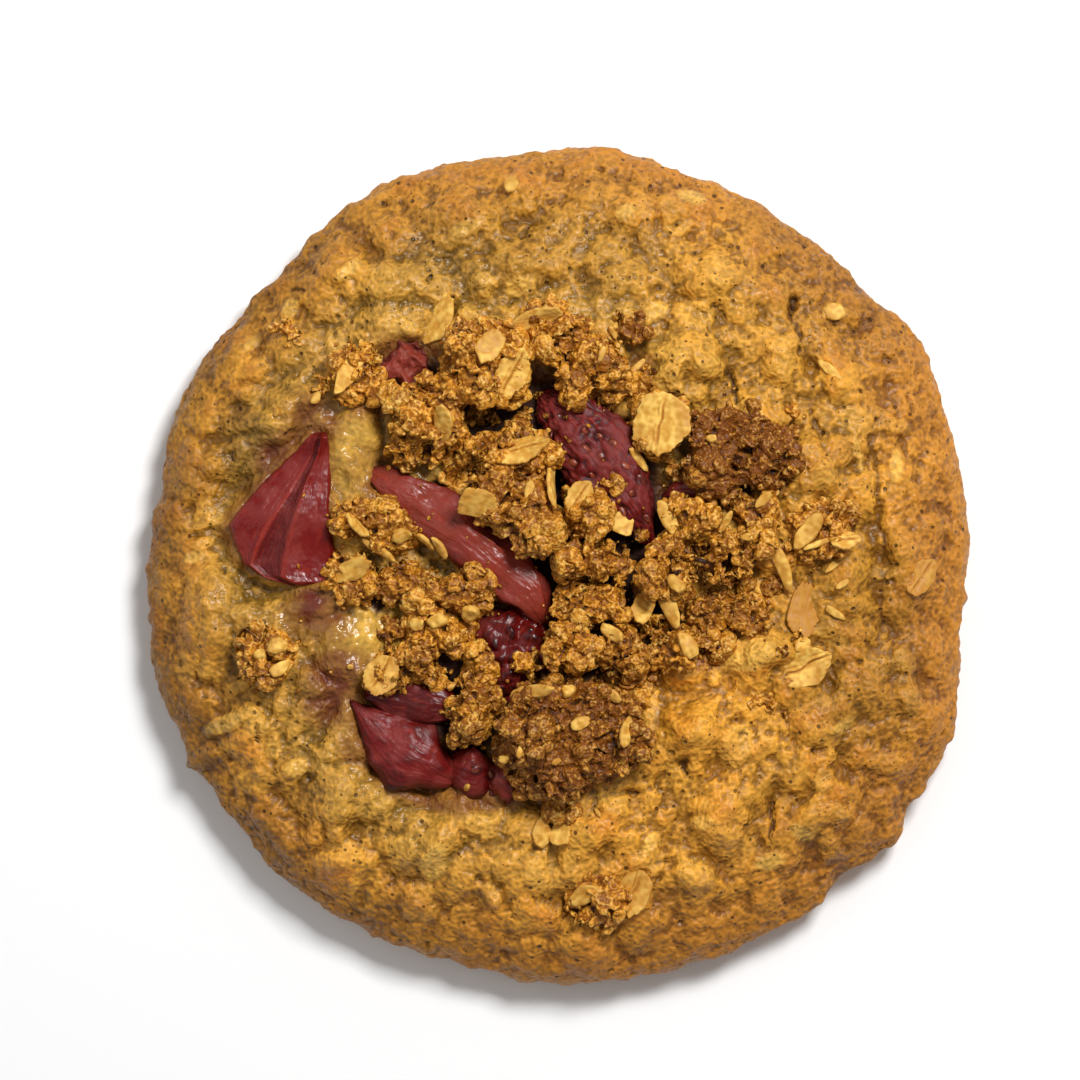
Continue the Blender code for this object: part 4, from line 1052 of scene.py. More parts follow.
def fruitRelief(kind, along, around, spot, seed):
    if kind == "crumpled":
        fold = 1.0 - abs(noise.noise(spot * 0.34 + Vector((seed, 0.0, 0.0)))) * 3.2
        fine = 1.0 - abs(noise.noise(spot * 0.8 + Vector((0.0, seed, 0.0)))) * 3.0
        return 0.6 * fold + 0.28 * fine + 0.1 * noise.noise(spot * 2.2) - 0.5
    fibre = noise.noise(Vector((along * 0.22, around * 1.5, seed)))
    fold = noise.noise(Vector((along * 0.26, around * 0.4, seed + 4.0)))
    relief = 0.08 * fibre + 0.3 * fold + 0.12 * noise.noise(spot * 0.9 + Vector((seed, 0.0, 0.0)))
    if kind == "wedge":
        relief *= 0.55
        for x, y in beadPlaces:
            relief += fruitLook["beadRise"] * math.exp(-((spot.x - x) ** 2 + (spot.y - y) ** 2) / 0.14)
    if kind == "dimpled":
        wrinkle = abs(noise.noise(Vector((along * 0.75, around * 1.2, seed + 8.0))))
        relief -= fruitLook["wrinkleDepth"] * max(1.0 - wrinkle * 3.4, 0.0)
        for x, y in seedPlaces:
            off = math.hypot(spot.x - x, spot.y - y) / fruitLook["dimpleReach"]
            if off < 2.0:
                relief += fruitLook["dimpleDepth"] * (0.08 * math.exp(-((off - 1.0) / 0.35) ** 2)
                                                      - math.exp(-(off / 0.55) ** 2))
    return relief


def fruitSpot(berry, path, share, around, crown):
    # a point of the slug's skin; around is a point on the unit circle
    middle = curvePoint(path, share)
    ahead = curvePoint(path, min(share + 0.02, 1.0)) - curvePoint(path, max(share - 0.02, 0.0))
    right = Vector((ahead.y, -ahead.x, 0.0)).normalized()
    ragged = berry.get("ragged", fruitLook["ragged"])
    uneven = 1.0 + ragged * 2.0 * noise.noise(Vector((share * 7.0, 2.0 * around[0], path[0].x)))
    girth = max(curvePoint(berry["girth"], share), 0.2) * uneven
    closing = math.sin(math.pi * share) ** 0.5
    up = berry["rise"] * crown if around[1] > 0.0 else -berry["sink"] * abs(around[1])
    return middle + closing * (right * around[0] * girth + Vector((0.0, 0.0, up)))


def makeFruit(name, berry):
    seed = 3.7 * len(name)
    path = [Vector((x, y, float(doughHeight(x, y)) + lift)) for x, y, lift in berry["path"]]
    length = sum((end - start).length for start, end in zip(path, path[1:]))
    girth = max(berry["girth"])
    bm = bmesh.new()
    bmesh.ops.create_uvsphere(bm, u_segments=fruitLook["around"], v_segments=fruitLook["along"], radius=1.0)
    layers = {key: bm.verts.layers.float.new(key) for key in ("along", "across", "ridge", "darkening")}
    for vert in bm.verts:
        share = min(max(math.acos(max(min(vert.co.z, 1.0), -1.0)) / math.pi, 0.0), 1.0)
        ring = Vector((vert.co.x, vert.co.y))
        ring = ring.normalized() if abs(vert.co.z) < 0.9999 else Vector((0.0, 0.0))
        vert[layers["along"]] = share * length
        vert[layers["across"]] = ring.x * girth
        if berry["kind"] == "wedge":
            vert.co, turn = wedgeSpot(berry, path, share, ring)
            line = math.exp(-((turn - 1.0) / 0.07) ** 2) + 0.7 * math.exp(-((turn - 2.0) / 0.06) ** 2)
            vert[layers["ridge"]] = line * min(max((share - 0.12) * 5.0, 0.0), 1.0)
            # painted shade: the wedge's middle face is darkened
            middleFace = float(smoothStep(turn, 0.9, 1.15) * smoothStep(turn, 2.0, 1.85))
            vert[layers["darkening"]] = fruitLook["middleFaceShade"] * middleFace
        else:
            vert.co = fruitSpot(berry, path, share, ring, abs(ring.y) ** 0.75)
            # painted shade: darker along the sides where the fruit meets the dough, and in a ring round each
            # seed dimple; these join the fruit's own browning
            edge = fruitLook["edgeShade"] * float(smoothStep(abs(ring.x), 0.5, 1.0))
            nearest = min(math.hypot(vert.co.x - x, vert.co.y - y) for x, y in seedPlaces)
            seedDimpleShade = 1.0 - float(smoothStep(nearest, 0.6, 1.15))
            vert[layers["darkening"]] = max(berry["darkening"], edge, seedDimpleShade)
    bmesh.ops.recalc_face_normals(bm, faces=bm.faces)
    bm.normal_update()
    moved = []
    for vert in bm.verts:
        relief = fruitRelief(berry["kind"], vert[layers["along"]], vert[layers["across"]], vert.co, seed)
        moved.append(vert.co + vert.normal * relief)
    placeVertices(bm, moved)
    bmesh.ops.remove_doubles(bm, verts=bm.verts, dist=0.005)
    piece = newPiece(name + "_flesh", bm, fruitFinish)
    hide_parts(name)
    markStanding(piece.data, "proud", *fruitLook["proud"], berry.get("even", 0.0))
    for key in ("matte", "pink"):
        setValues(piece.data, key, np.full(len(piece.data.vertices), berry.get(key, 0.0)))
    return piece


fruitPieces = [makeFruit(name, berry) for name, berry in fruit.items()]
print("fruit", sum(len(piece.data.polygons) for piece in fruitPieces))


# ---- crumble clumps

crumbleLook = {
    "crowding": 1.14, "slim": 0.89, "voxel": 0.2, "granulesPerArea": 0.28, "granule": (0.3, 1.45),
    "granuleSink": 0.35, "waves": ((0.22, 1.3), (0.7, 0.34), (1.7, 0.13), (3.2, 0.1)),
    "blocks": (2.9, 1.9), "seam": 0.6, "holeDepth": 0.8,
    "proud": (8, 0.4), "sunken": (26, 0.14, 0.64),  # rounds of smoothing, then millimetres
}


def clumpLobes(clump):
    # the balls that a clump is grown from, drawn in the same order as for the solid
    length, width, height = clump[2] * crumbleLook["crowding"], clump[3] * crumbleLook["crowding"], clump[5]
    rng = random.Random(clump[7])
    lobes = [(Vector((0.0, 0.0, 0.0)), Vector((0.36 * length, 0.36 * width, 0.42 * height)))]
    count = 5 + round((length + width) / 4.0)
    for step in range(count):
        angle = math.tau * (step + rng.uniform(-0.3, 0.3)) / count
        ball = rng.uniform(0.17, 0.27) * (width + 2.0)
        outX = max(length / 2.0 - ball, 0.0) * rng.uniform(0.8, 1.05)
        outY = max(width / 2.0 - ball, 0.0) * rng.uniform(0.8, 1.05)
        up = rng.uniform(-0.2, 0.24) * height
        half = (ball, ball * rng.uniform(0.8, 1.1), min(ball * rng.uniform(0.8, 1.1), 0.3 * height))
        lobes.append((Vector((outX * math.cos(angle), outY * math.sin(angle), up)), Vector(half)))
    for step in range(2 + count // 4):
        angle = math.tau * (step + rng.uniform(0.0, 0.6)) / (2 + count // 4)
        ball = rng.uniform(0.16, 0.24) * (width + 2.0)
        far = rng.uniform(0.12, 0.26)
        lobes.append((Vector((far * length * math.cos(angle), far * width * math.sin(angle), 0.26 * height)),
                      Vector((ball, ball, 0.24 * height))))
    return lobes


def buried(spot, lobes, skip, margin):
    # whether a place lies well inside another lobe
    for index, (middle, half) in enumerate(lobes):
        off = spot - middle
        reach = (off.x / half.x) ** 2 + (off.y / half.y) ** 2 + (off.z / half.z) ** 2
        if index != skip and reach < margin:
            return True
    return False


def growClump(lobes, rng, place, look=crumbleLook):
    # lobes with granules pressed into them, under one skin
    bm = bmesh.new()
    for middle, half in lobes:
        size = Matrix.Diagonal((half.x * look["slim"], half.y * look["slim"], half.z * 0.94, 1.0))
        bmesh.ops.create_icosphere(bm, subdivisions=3, radius=1.0, matrix=Matrix.Translation(middle) @ size)
    for index, (middle, half) in enumerate(lobes):
        area = 4.0 * math.pi * ((half.x * half.y + half.x * half.z + half.y * half.z) / 3.0)
        for item in range(int(area * look["granulesPerArea"])):
            ray = Vector((rng.gauss(0.0, 1.0), rng.gauss(0.0, 1.0), rng.gauss(0.25, 1.0))).normalized()
            size = rng.uniform(*look["granule"]) * rng.uniform(0.6, 1.0)
            squash = rng.uniform(0.65, 1.1)
            skin = middle + Vector((ray.x * half.x, ray.y * half.y, ray.z * half.z))
            spot = skin - ray * look["granuleSink"] * size
            if not buried(spot, lobes, index, 0.75):
                turn = Euler((rng.uniform(0.0, 3.0), rng.uniform(0.0, 3.0), 0.0)).to_matrix().to_4x4()
                shape = Matrix.Diagonal((size, size * squash, size * 0.85, 1.0))
                bmesh.ops.create_icosphere(bm, subdivisions=1, radius=1.0,
                                           matrix=Matrix.Translation(spot) @ turn @ shape)
    bmesh.ops.transform(bm, matrix=place, verts=bm.verts)
    return remeshed(bm, look["voxel"])


def crumbleRelief(spot, look=crumbleLook):
    # uneven blocks of crumble with sandy grain and a few deep holes
    spot = skew @ spot
    bend = Vector((noise.noise(spot * 1.1), noise.noise(spot * 1.1 + Vector((7.0, 3.0, 1.0))), 0.0)) * 0.9
    relief = sum(rise * noise.noise(spot * step + Vector((0.0, 0.0, 23.0 * step)))
                 for step, rise in look["waves"])
    size, uneven = look["blocks"]
    near, points = noise.voronoi((spot + bend) / size)
    chance = noise.noise(points[0] * 7.3 + Vector((0.4, 0.2, 0.7)))
    relief += uneven * chance - look["seam"] * math.exp(-(((near[1] - near[0]) / 0.1) ** 2))
    if chance < -0.24:
        relief -= look["holeDepth"] * max(0.55 - near[0], 0.0)
    return relief


def roughen(bm):
    bm.normal_update()
    placeVertices(bm, [vert.co + vert.normal * crumbleRelief(vert.co) for vert in bm.verts])
    bmesh.ops.smooth_vert(bm, verts=bm.verts, factor=0.35, use_axis_x=True, use_axis_y=True, use_axis_z=True)


def markCrumble(mesh, darkening):
    # proud marks the crests and sunken the hollows, which the finish paints dark as shade
    rounds, low, high = crumbleLook["sunken"]
    markStanding(mesh, "proud", *crumbleLook["proud"])
    setValues(mesh, "sunken", smoothStep(-standOut(mesh, rounds), low, high))
    setValues(mesh, "darkening", darkening)


def clumpPlace(clump):
    height = float(doughHeight(clump[0], clump[1])) + clump[6]
    turn = Matrix.Rotation(math.radians(clump[4]), 4, "Z")
    return Matrix.Translation((clump[0], clump[1], height)) @ turn


def makeClump(name, clump):
    bm = growClump(clumpLobes(clump), random.Random(clump[7] + 500), clumpPlace(clump))
    roughen(bm)
    piece = newPiece(name + "_crags", bm, crumbleFinish)
    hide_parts(name)
    markCrumble(piece.data, np.full(len(piece.data.vertices), clump[8]))
    return piece


clumpPieces = [makeClump(name, clump) for name, clump in clumps.items()]
print("clumps", sum(len(piece.data.polygons) for piece in clumpPieces))


# ---- small crumble that lies between the clumps and on the dough

# x, y, length, width, direction, height, how browned
smallClumps = (
    (-35.0, 30.2, 6.8, 2.9, -40, 2.4, 0.0), (9.3, 31.0, 6.0, 4.6, -20, 3.4, 0.7),
    (11.9, 24.6, 4.6, 3.0, 80, 3.0, 0.3), (-30.8, 23.2, 4.6, 3.6, 60, 2.6, 0.1),
    (-24.6, 22.6, 2.4, 1.7, 0, 1.6, 0.1), (-21.3, -8.6, 5.0, 4.4, 30, 3.4, 0.6),
    (26.4, -17.6, 3.4, 2.8, 0, 1.9, 0.1), (29.4, -18.4, 2.4, 2.0, 0, 1.6, 0.1),
    (10.6, -18.2, 4.6, 3.0, 75, 3.4, 0.2), (28.8, -11.2, 3.0, 2.6, 0, 1.8, 0.5),
    (20.4, -4.6, 4.8, 4.2, 20, 3.6, 0.7), (-9.8, -13.2, 7.4, 3.8, 80, 3.6, 0.1),
    (-3.7, -13.0, 5.0, 3.6, 60, 3.2, 0.0), (5.0, -15.8, 6.0, 4.2, 10, 3.6, 0.45),
    (-2.8, 32.6, 4.6, 2.6, 10, 2.6, 0.75), (-4.5, 20.3, 2.6, 2.0, 10, 2.0, 0.0),
    (-2.8, 22.2, 2.4, 2.1, 0, 2.2, 0.0), (-1.6, 19.5, 1.9, 1.6, 0, 1.6, 0.1),
    (1.0, 19.3, 1.6, 1.4, 0, 1.3, 0.2), (6.4, 10.8, 2.4, 1.5, -30, 1.4, 0.1),
    (12.0, -1.6, 4.0, 3.4, 40, 3.0, 0.5), (10.6, 4.4, 3.4, 2.6, 50, 2.6, 0.4),
    (-17.6, -11.0, 3.6, 2.8, 20, 2.6, 0.4), (-13.2, 11.6, 4.4, 3.2, -30, 2.8, 0.2),
    (-14.6, 2.0, 3.0, 2.4, 0, 2.0, 0.1), (19.6, -9.4, 2.6, 2.0, 10, 1.8, 0.2),
    (31.0, -9.8, 3.0, 2.6, 0, 2.0, 0.0), (33.2, 7.4, 3.6, 2.4, -30, 2.0, 0.1),
    (28.6, -2.2, 2.4, 2.0, 0, 1.6, 0.6), (30.2, 11.0, 2.4, 1.8, 30, 1.4, 0.3),
    (-30.8, -3.1, 1.4, 1.0, 20, 0.9, 0.1), (7.2, -25.8, 3.0, 2.4, 0, 2.2, 0.1),
    (-7.6, -25.4, 2.4, 2.0, 0, 1.8, 0.3), (0.4, -31.2, 4.6, 3.0, -15, 2.6, 0.4),
    (16.0, 12.6, 3.4, 2.8, 10, 2.4, 0.4), (30.0, 20.0, 2.6, 1.8, 40, 1.4, 0.2),
    (22.6, 9.6, 3.6, 2.4, 30, 2.4, 0.2), (9.6, 21.6, 2.8, 2.2, 20, 2.2, 0.2),
    (-21.6, 14.6, 2.0, 1.6, 0, 1.4, 0.0), (20.6, -6.0, 7.4, 5.4, 30, 5.0, 0.3),
    (18.8, -10.2, 5.4, 4.4, -20, 4.0, 0.2), (11.2, -7.6, 4.4, 3.6, 70, 4.4, 0.5),
    (24.8, 2.4, 4.6, 3.8, 60, 3.6, 0.3), (-9.6, 19.4, 5.0, 3.4, 20, 3.4, 0.3),
    (-3.6, 2.2, 3.6, 3.0, 0, 3.6, 0.4), (13.4, -7.8, 5.2, 4.0, 30, 3.6, 0.4),
    (15.8, -4.0, 4.0, 3.4, 70, 3.4, 0.4), (10.6, -3.2, 3.4, 3.0, 0, 3.2, 0.3),
    (12.2, -13.8, 3.6, 2.8, 20, 2.4, 0.3), (-20.0, 22.6, 2.8, 2.2, 30, 2.2, 0.1),
    (18.6, 2.4, 3.4, 2.8, 40, 3.0, 0.3),
)


def surfaceTree(pieces):
    # what small things come to rest on, in millimetres
    bm = bmesh.new()
    for piece in pieces:
        bm.from_mesh(piece.data)
    bmesh.ops.transform(bm, matrix=Matrix.Scale(1.0 / mm, 4), verts=bm.verts)
    tree = BVHTree.FromBMesh(bm)
    bm.free()
    return tree


def restOn(tree, x, y):
    spot, normal = tree.ray_cast(Vector((x, y, 60.0)), Vector((0.0, 0.0, -1.0)))[:2]
    return (spot.z, normal) if spot else (0.0, Vector((0.0, 0.0, 1.0)))


smallClumpLook = {"lobes": 5, "lobe": (0.2, 0.3), "lobeReach": 0.34, "lift": 0.18, "footing": 0.8}


def makeSmallClumps(tree):
    look = smallClumpLook
    reach, foot = look["lobeReach"], look["footing"]
    whole = bmesh.new()
    darkening = whole.verts.layers.float.new("darkening")
    for index, (x, y, length, width, direction, height, dark) in enumerate(smallClumps):
        rng = random.Random(900 + index)
        spots = ((0, 0), (foot, 0), (-foot, 0), (0, foot), (0, -foot))
        under = min(restOn(tree, x + dx, y + dy)[0] for dx, dy in spots)
        place = Matrix.Translation((x, y, under + look["lift"] * height))
        place = place @ Matrix.Rotation(math.radians(direction), 4, "Z")
        lobes = [(Vector((0, 0, 0)), Vector((0.36 * length, 0.36 * width, 0.45 * height)))]
        for step in range(look["lobes"]):
            angle = math.tau * (step + rng.uniform(-0.3, 0.3)) / look["lobes"]
            ball = rng.uniform(*look["lobe"]) * width
            middle = Vector((reach * length * math.cos(angle), reach * width * math.sin(angle),
                             rng.uniform(-0.1, 0.2) * height))
            lobes.append((middle, Vector((ball, ball, 0.8 * ball))))
        bm = growClump(lobes, rng, place)
        roughen(bm)
        layer = bm.verts.layers.float.new("darkening")
        for vert in bm.verts:
            vert[layer] = dark
        mesh = bpy.data.meshes.new("small")
        bm.to_mesh(mesh)
        bm.free()
        whole.from_mesh(mesh)
        bpy.data.meshes.remove(mesh)
    values = [vert[darkening] for vert in whole.verts]
    piece = newPiece("smallCrumble", whole, crumbleFinish)
    markCrumble(piece.data, values)
    return piece


heapTree = surfaceTree([dough] + fruitPieces + clumpPieces)
smallCrumble = makeSmallClumps(heapTree)
print("small crumble", len(smallCrumble.data.polygons))


# ---- rolled oats

# x, y, length, width, direction, roll, pitch, kind, how browned
flakes = (
    (13.2, 18.6, 8.4, 7.7, 78, 3, -4, "whole", 0.0), (-2.9, 32.1, 7.4, 3.2, 20, 24, 4, "broken", 0.0),
    (-4.6, 15.2, 7.4, 4.0, 12, -10, 4, "pointed", 0.0),
    (-10.5, 8.0, 5.8, 4.6, -35, 4, 8, "broken", 0.35), (-0.9, 11.0, 8.2, 2.6, 82, 44, 0, "broken", 0.1),
    (-3.8, 9.9, 2.7, 1.3, 75, 10, 0, "broken", 0.0), (-9.0, 28.4, 5.4, 3.4, 45, 4, 0, "broken", 0.0),
    (-6.0, 24.9, 7.0, 4.0, 62, 26, 0, "whole", 0.0), (-15.0, 18.5, 5.8, 2.8, 80, 6, 0, "broken", 0.0),
    (-27.2, 25.2, 8.8, 2.6, 62, 8, 0, "broken", 0.0),
    (-26.2, 5.5, 4.4, 2.6, -35, -14, 0, "broken", 0.0),
    (-23.4, 2.2, 6.0, 1.2, -25, 0, 0, "sliver", 0.1), (-26.8, -0.5, 6.6, 2.8, 20, 10, 0, "broken", 0.1),
    (-20.4, 3.9, 2.8, 2.2, 10, 0, 0, "nugget", 0.1), (-17.2, 3.2, 3.4, 1.5, -50, 20, 0, "broken", 0.0),
    (-15.4, 2.4, 3.4, 1.4, -60, 20, 0, "broken", 0.1),
    (-11.5, -6.0, 3.2, 2.4, 40, 10, 0, "nugget", 0.0), (-15.7, -7.1, 3.0, 2.0, 15, 0, 0, "nugget", 0.0),
    (-18.3, -7.4, 2.2, 2.0, 0, 0, 0, "nugget", 0.0), (-23.0, -14.0, 5.6, 4.4, 60, -16, 0, "whole", 0.3),
    (-21.1, -14.4, 3.8, 0.8, 42, 0, 0, "sliver", 0.0), (2.7, 9.0, 4.8, 3.4, 52, -6, 6, "whole", 0.2),
    (8.4, 5.6, 3.9, 3.3, 60, 4, 0, "broken", 0.0), (14.2, 6.2, 5.2, 2.2, -60, 40, 0, "whole", 0.1),
    (21.5, 5.6, 3.8, 1.2, 60, 40, 0, "sliver", 0.0), (19.8, 16.5, 1.4, 1.2, 0, 0, 0, "nugget", 0.0),
    (15.3, -2.3, 3.0, 2.0, -50, 0, 0, "nugget", 0.0), (10.9, -5.4, 5.0, 3.0, 80, 24, 0, "broken", 0.1),
    (14.3, -5.3, 5.8, 2.2, -66, 20, 0, "whole", 0.2), (16.6, -10.2, 4.2, 2.4, -60, 0, 0, "nugget", 0.0),
    (6.9, -8.6, 4.2, 1.8, -32, 20, 0, "broken", 0.0), (8.8, -21.2, 5.2, 2.2, 76, 62, 0, "whole", 0.0),
    (-3.2, -16.1, 7.0, 1.9, 5, 16, 0, "sliver", 0.0), (1.1, -16.1, 2.3, 1.7, 20, 0, 0, "nugget", 0.1),
    (7.1, -16.8, 2.6, 1.5, -40, 20, 0, "broken", 0.0), (2.8, -20.2, 2.8, 1.9, 20, 0, 0, "nugget", 0.1),
    (-5.0, -23.9, 2.1, 0.9, 80, 0, 0, "sliver", 0.0), (-7.0, -24.9, 1.6, 1.3, 0, 0, 0, "nugget", 0.1),
    (-0.4, -25.2, 1.5, 0.9, 30, 0, 0, "nugget", 0.1), (-1.6, -11.8, 2.2, 1.0, 80, 30, 0, "broken", 0.0),
    (32.4, 4.6, 5.8, 2.4, 52, 34, 0, "whole", 0.0), (33.5, 2.9, 3.8, 0.9, 20, 10, 6, "sliver", 0.0),
    (37.2, 3.4, 4.4, 2.9, 8, -18, 6, "pointed", 0.0), (36.0, 0.4, 4.2, 1.0, 40, 0, 0, "sliver", 0.0),
    (36.8, -2.3, 2.3, 0.9, 30, 0, 0, "sliver", 0.0), (35.8, -6.0, 3.3, 1.1, -35, 0, 0, "sliver", 0.1),
    (31.6, -10.2, 2.6, 2.0, 40, 10, 0, "broken", 0.0),
    (-36.4, -10.2, 3.2, 2.3, 20, 8, 0, "nugget", 0.0), (-38.6, -11.4, 1.9, 1.5, 0, 0, 0, "nugget", 0.1),
    (-36.2, -13.2, 3.4, 1.8, 35, 14, 0, "broken", 0.0),
    (-2.2, -34.7, 2.8, 4.0, 8, 4, 0, "broken", 0.15), (0.2, -34.5, 2.9, 4.2, 12, -4, 0, "broken", 0.0),
    (9.6, -42.5, 6.4, 5.0, 62, 0, 0, "whole", 0.35), (3.4, -42.6, 4.0, 2.8, 30, 0, 0, "broken", 0.4),
    (35.3, 25.5, 4.2, 1.3, -42, 6, 0, "sliver", 0.0), (36.0, 33.2, 3.2, 2.4, 0, 0, 0, "broken", 0.1),
    (47.2, -1.4, 5.8, 3.6, 52, 0, 0, "whole", 0.85), (7.1, 30.3, 2.1, 0.8, -60, 20, 0, "sliver", 0.0),
    (10.2, 25.9, 3.1, 0.9, 45, 10, 0, "sliver", 0.0), (5.5, 27.4, 2.3, 1.1, 72, 0, 0, "nugget", 0.1),
    (10.3, 13.9, 4.2, 1.2, -50, 20, 0, "sliver", 0.1), (-36.7, 19.9, 1.5, 0.8, 70, 0, 0, "nugget", 0.6),
    (5.1, -32.0, 1.6, 0.6, -60, 0, 0, "sliver", 0.1), (-11.9, -28.7, 1.7, 0.8, 66, 0, 0, "nugget", 0.0),
    (-27.0, -13.0, 0.9, 0.8, 0, 0, 0, "nugget", 0.0), (-22.7, 21.4, 0.8, 0.8, 0, 0, 0, "nugget", 0.0),
    (-11.2, 18.6, 1.0, 0.9, 0, 0, 0, "nugget", 0.0), (-6.2, 49.8, 2.4, 1.9, 60, 0, 0, "nugget", 0.1),
    (26.4, 8.6, 3.0, 1.4, 40, 30, 0, "broken", 0.1), (24.4, 3.8, 1.8, 1.2, 0, 0, 0, "nugget", 0.1),
    (-31.6, 21.8, 2.0, 1.2, 60, 0, 0, "nugget", 0.1),
)

# flakes in nodes of their own
looseFlakes = {
    "oat_creased": (32.2, -12.8, 7.0, 5.8, 25, 4, 0, "creased", 0.0),
    "oat_flat": (31.8, -5.7, 7.4, 4.4, 80, -4, 2, "plank", 1.0),
    "oat_standing": (-15.7, 31.9, 7.0, 4.4, 70, -16, 2, "broken", 0.0),
    "oat_thin": (28.4, 0.6, 9.6, 1.9, -62, 10, 0, "bent", 0.05),
}
flakeLook = {
    "thickness": 0.66, "around": 64, "across": 14, "smallAround": 26, "smallAcross": 8, "narrow": 2.6,
    "wide": 3.8, "crease": 0.3, "ragged": 0.1, "rough": 0.12, "nuggetRough": 0.34, "curl": 0.045,
    "follow": 0.6, "lift": 0.3, "creaseWidth": 0.2, "secondCrease": 0.62, "bend": 0.18, "wings": 0.24,
}
# how many straight breaks an outline has, and how far out they lie at least
flakeBreaks = {
    "whole": (1, 0.88), "broken": (3, 0.72), "pointed": (2, 0.74), "creased": (2, 0.84), "sliver": (2, 0.7),
    "bent": (1, 0.85), "plank": (2, 0.8), "nugget": (3, 0.66),
}


def flakeOutline(kind, x, y, seed, breaks):
    # how the round of a sphere becomes the ragged outline of a flake, in half lengths and half widths
    angle = math.atan2(y, x)
    ring = Vector((math.cos(angle), math.sin(angle), seed))
    edge = 1.0 + flakeLook["ragged"] * (1.6 * noise.noise(ring * 1.5) + noise.noise(ring * 4.0)
                                        + 0.7 * noise.noise(ring * 9.0))
    x, y = x * edge, y * edge
    if kind in ("pointed", "creased"):
        y *= 1.0 - 0.5 * max(x, 0.0) ** 1.5
    for directionX, directionY, far in breaks:
        over = x * directionX + y * directionY - far
        if over > 0.0:
            x -= directionX * over * 0.92
            y -= directionY * over * 0.92
    return x, y


def addFlake(bm, flake, rest, seed):
    x, y, length, width, direction, roll, pitch, kind, darkening = flake
    under, normal = rest
    look = flakeLook
    rng = random.Random(int(seed * 10))
    breaks = []
    for item in range(flakeBreaks[kind][0]):
        way = rng.uniform(0.0, math.tau)
        breaks.append((math.cos(way), math.sin(way), rng.uniform(flakeBreaks[kind][1], 0.95)))
    crease = bm.verts.layers.float.get("crease") or bm.verts.layers.float.new("crease")
    brown = bm.verts.layers.float.get("darkening") or bm.verts.layers.float.new("darkening")
    around, across = look["around"], look["across"]
    if width < look["narrow"]:
        around, across = look["smallAround"], look["smallAcross"]
    elif width > look["wide"]:
        around, across = 2 * around, 2 * across
    verts = bmesh.ops.create_uvsphere(bm, u_segments=around, v_segments=across, radius=1.0)["verts"]
    thick = look["thickness"] * {"nugget": 1.8, "sliver": 1.15}.get(kind, 1.0)
    thick = min(thick, 0.8 * width)
    rough = look["nuggetRough"] if kind == "nugget" else look["rough"]
    lean = Vector((0.0, 0.0, 1.0)).lerp(normal, look["follow"]).normalized()
    own = Euler((math.radians(roll), math.radians(pitch), math.radians(direction)), "XYZ")
    turn = standOn(lean) @ own.to_matrix().to_4x4()
    spin = Matrix.Translation((x, y, under + look["lift"] * thick)) @ turn
    for vert in verts:
        flatX, flatY, flatZ = vert.co
        outX, outY = flakeOutline(kind, flatX, flatY, seed, breaks)
        placeX, placeY = 0.5 * length * outX, 0.5 * width * outY
        up = 0.5 * thick * math.copysign(abs(flatZ) ** 0.4, flatZ)
        inside = max(1.0 - flatX ** 4, 0.0)
        line = 0.0
        if kind in ("whole", "creased", "pointed") and width > 2.4:
            wander = 0.08 * width * noise.noise(Vector((placeX * 0.4, seed, 0.0)))
            off = placeY - wander
            line = (math.exp(-(off / look["creaseWidth"]) ** 2)
                    + 0.6 * math.exp(-((off - look["secondCrease"]) / 0.18) ** 2)) * inside
            up -= look["crease"] * line
            up += 0.18 * math.exp(-((off - 0.3) / look["creaseWidth"]) ** 2) * inside
        up += rough * noise.noise(Vector((placeX * 0.9, placeY * 0.9, seed))) * (1.0 if flatZ > 0 else 0.4)
        up += 0.05 * noise.noise(Vector((placeX * 0.8, placeY * 4.0, seed)))
        up += look["curl"] * length * (outX * outX - 0.3) + 0.07 * width * outX * outY
        if kind == "bent":
            placeY += look["bend"] * length * (0.4 - outX * outX) * 0.5
            up += 0.3 * math.sin(outX * 3.0)
        if kind == "creased":
            up += look["wings"] * abs(placeY)  # two wings that rise from the crease
        edge = max(math.hypot(flatX, flatY) - 0.8, 0.0) * 5.0
        toast = max(noise.noise(Vector((placeX, placeY, seed + 5.0))) + 0.3, 0.0)
        vert[crease] = line if flatZ > 0.0 else 0.0
        vert[brown] = darkening + 0.25 * edge * toast
        vert.co = (placeX, placeY, up)
    bmesh.ops.transform(bm, matrix=spin, verts=verts)


def flakeRest(tree, flake):
    # a flake lies on most of what stands under it, and a wide one on what stands highest
    x, y, length, width, direction = flake[:5]
    heights = []
    for step in range(8):
        angle = math.tau * step / 8
        along, across = 0.32 * length * math.cos(angle), 0.32 * width * math.sin(angle)
        heights.append(restOn(tree, *turnedPlace(x, y, direction, along, across))[0])
    height, normal = restOn(tree, x, y)
    level = sorted(heights + [height])[7 if width > 6.0 else 5]
    return level, normal


def makeFlakes(tree):
    bm = bmesh.new()
    for index, flake in enumerate(flakes):
        addFlake(bm, flake, flakeRest(tree, flake), 11.0 + 2.3 * index)
    bmesh.ops.recalc_face_normals(bm, faces=bm.faces)
    return newPiece("oatFlakes", bm, oatFinish)


restTree = surfaceTree([dough, smallCrumble] + fruitPieces + clumpPieces)
oatFlakes = makeFlakes(restTree)
for index, (name, flake) in enumerate(looseFlakes.items()):
    bm = bmesh.new()
    addFlake(bm, flake, flakeRest(restTree, flake), 71.0 + 3.1 * index)
    bmesh.ops.recalc_face_normals(bm, faces=bm.faces)
    piece = newPiece(name + "_flake", bm, oatFinish)
    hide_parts(name)
print("flakes", len(oatFlakes.data.polygons))


# ---- strawberry seeds and fine crumbs

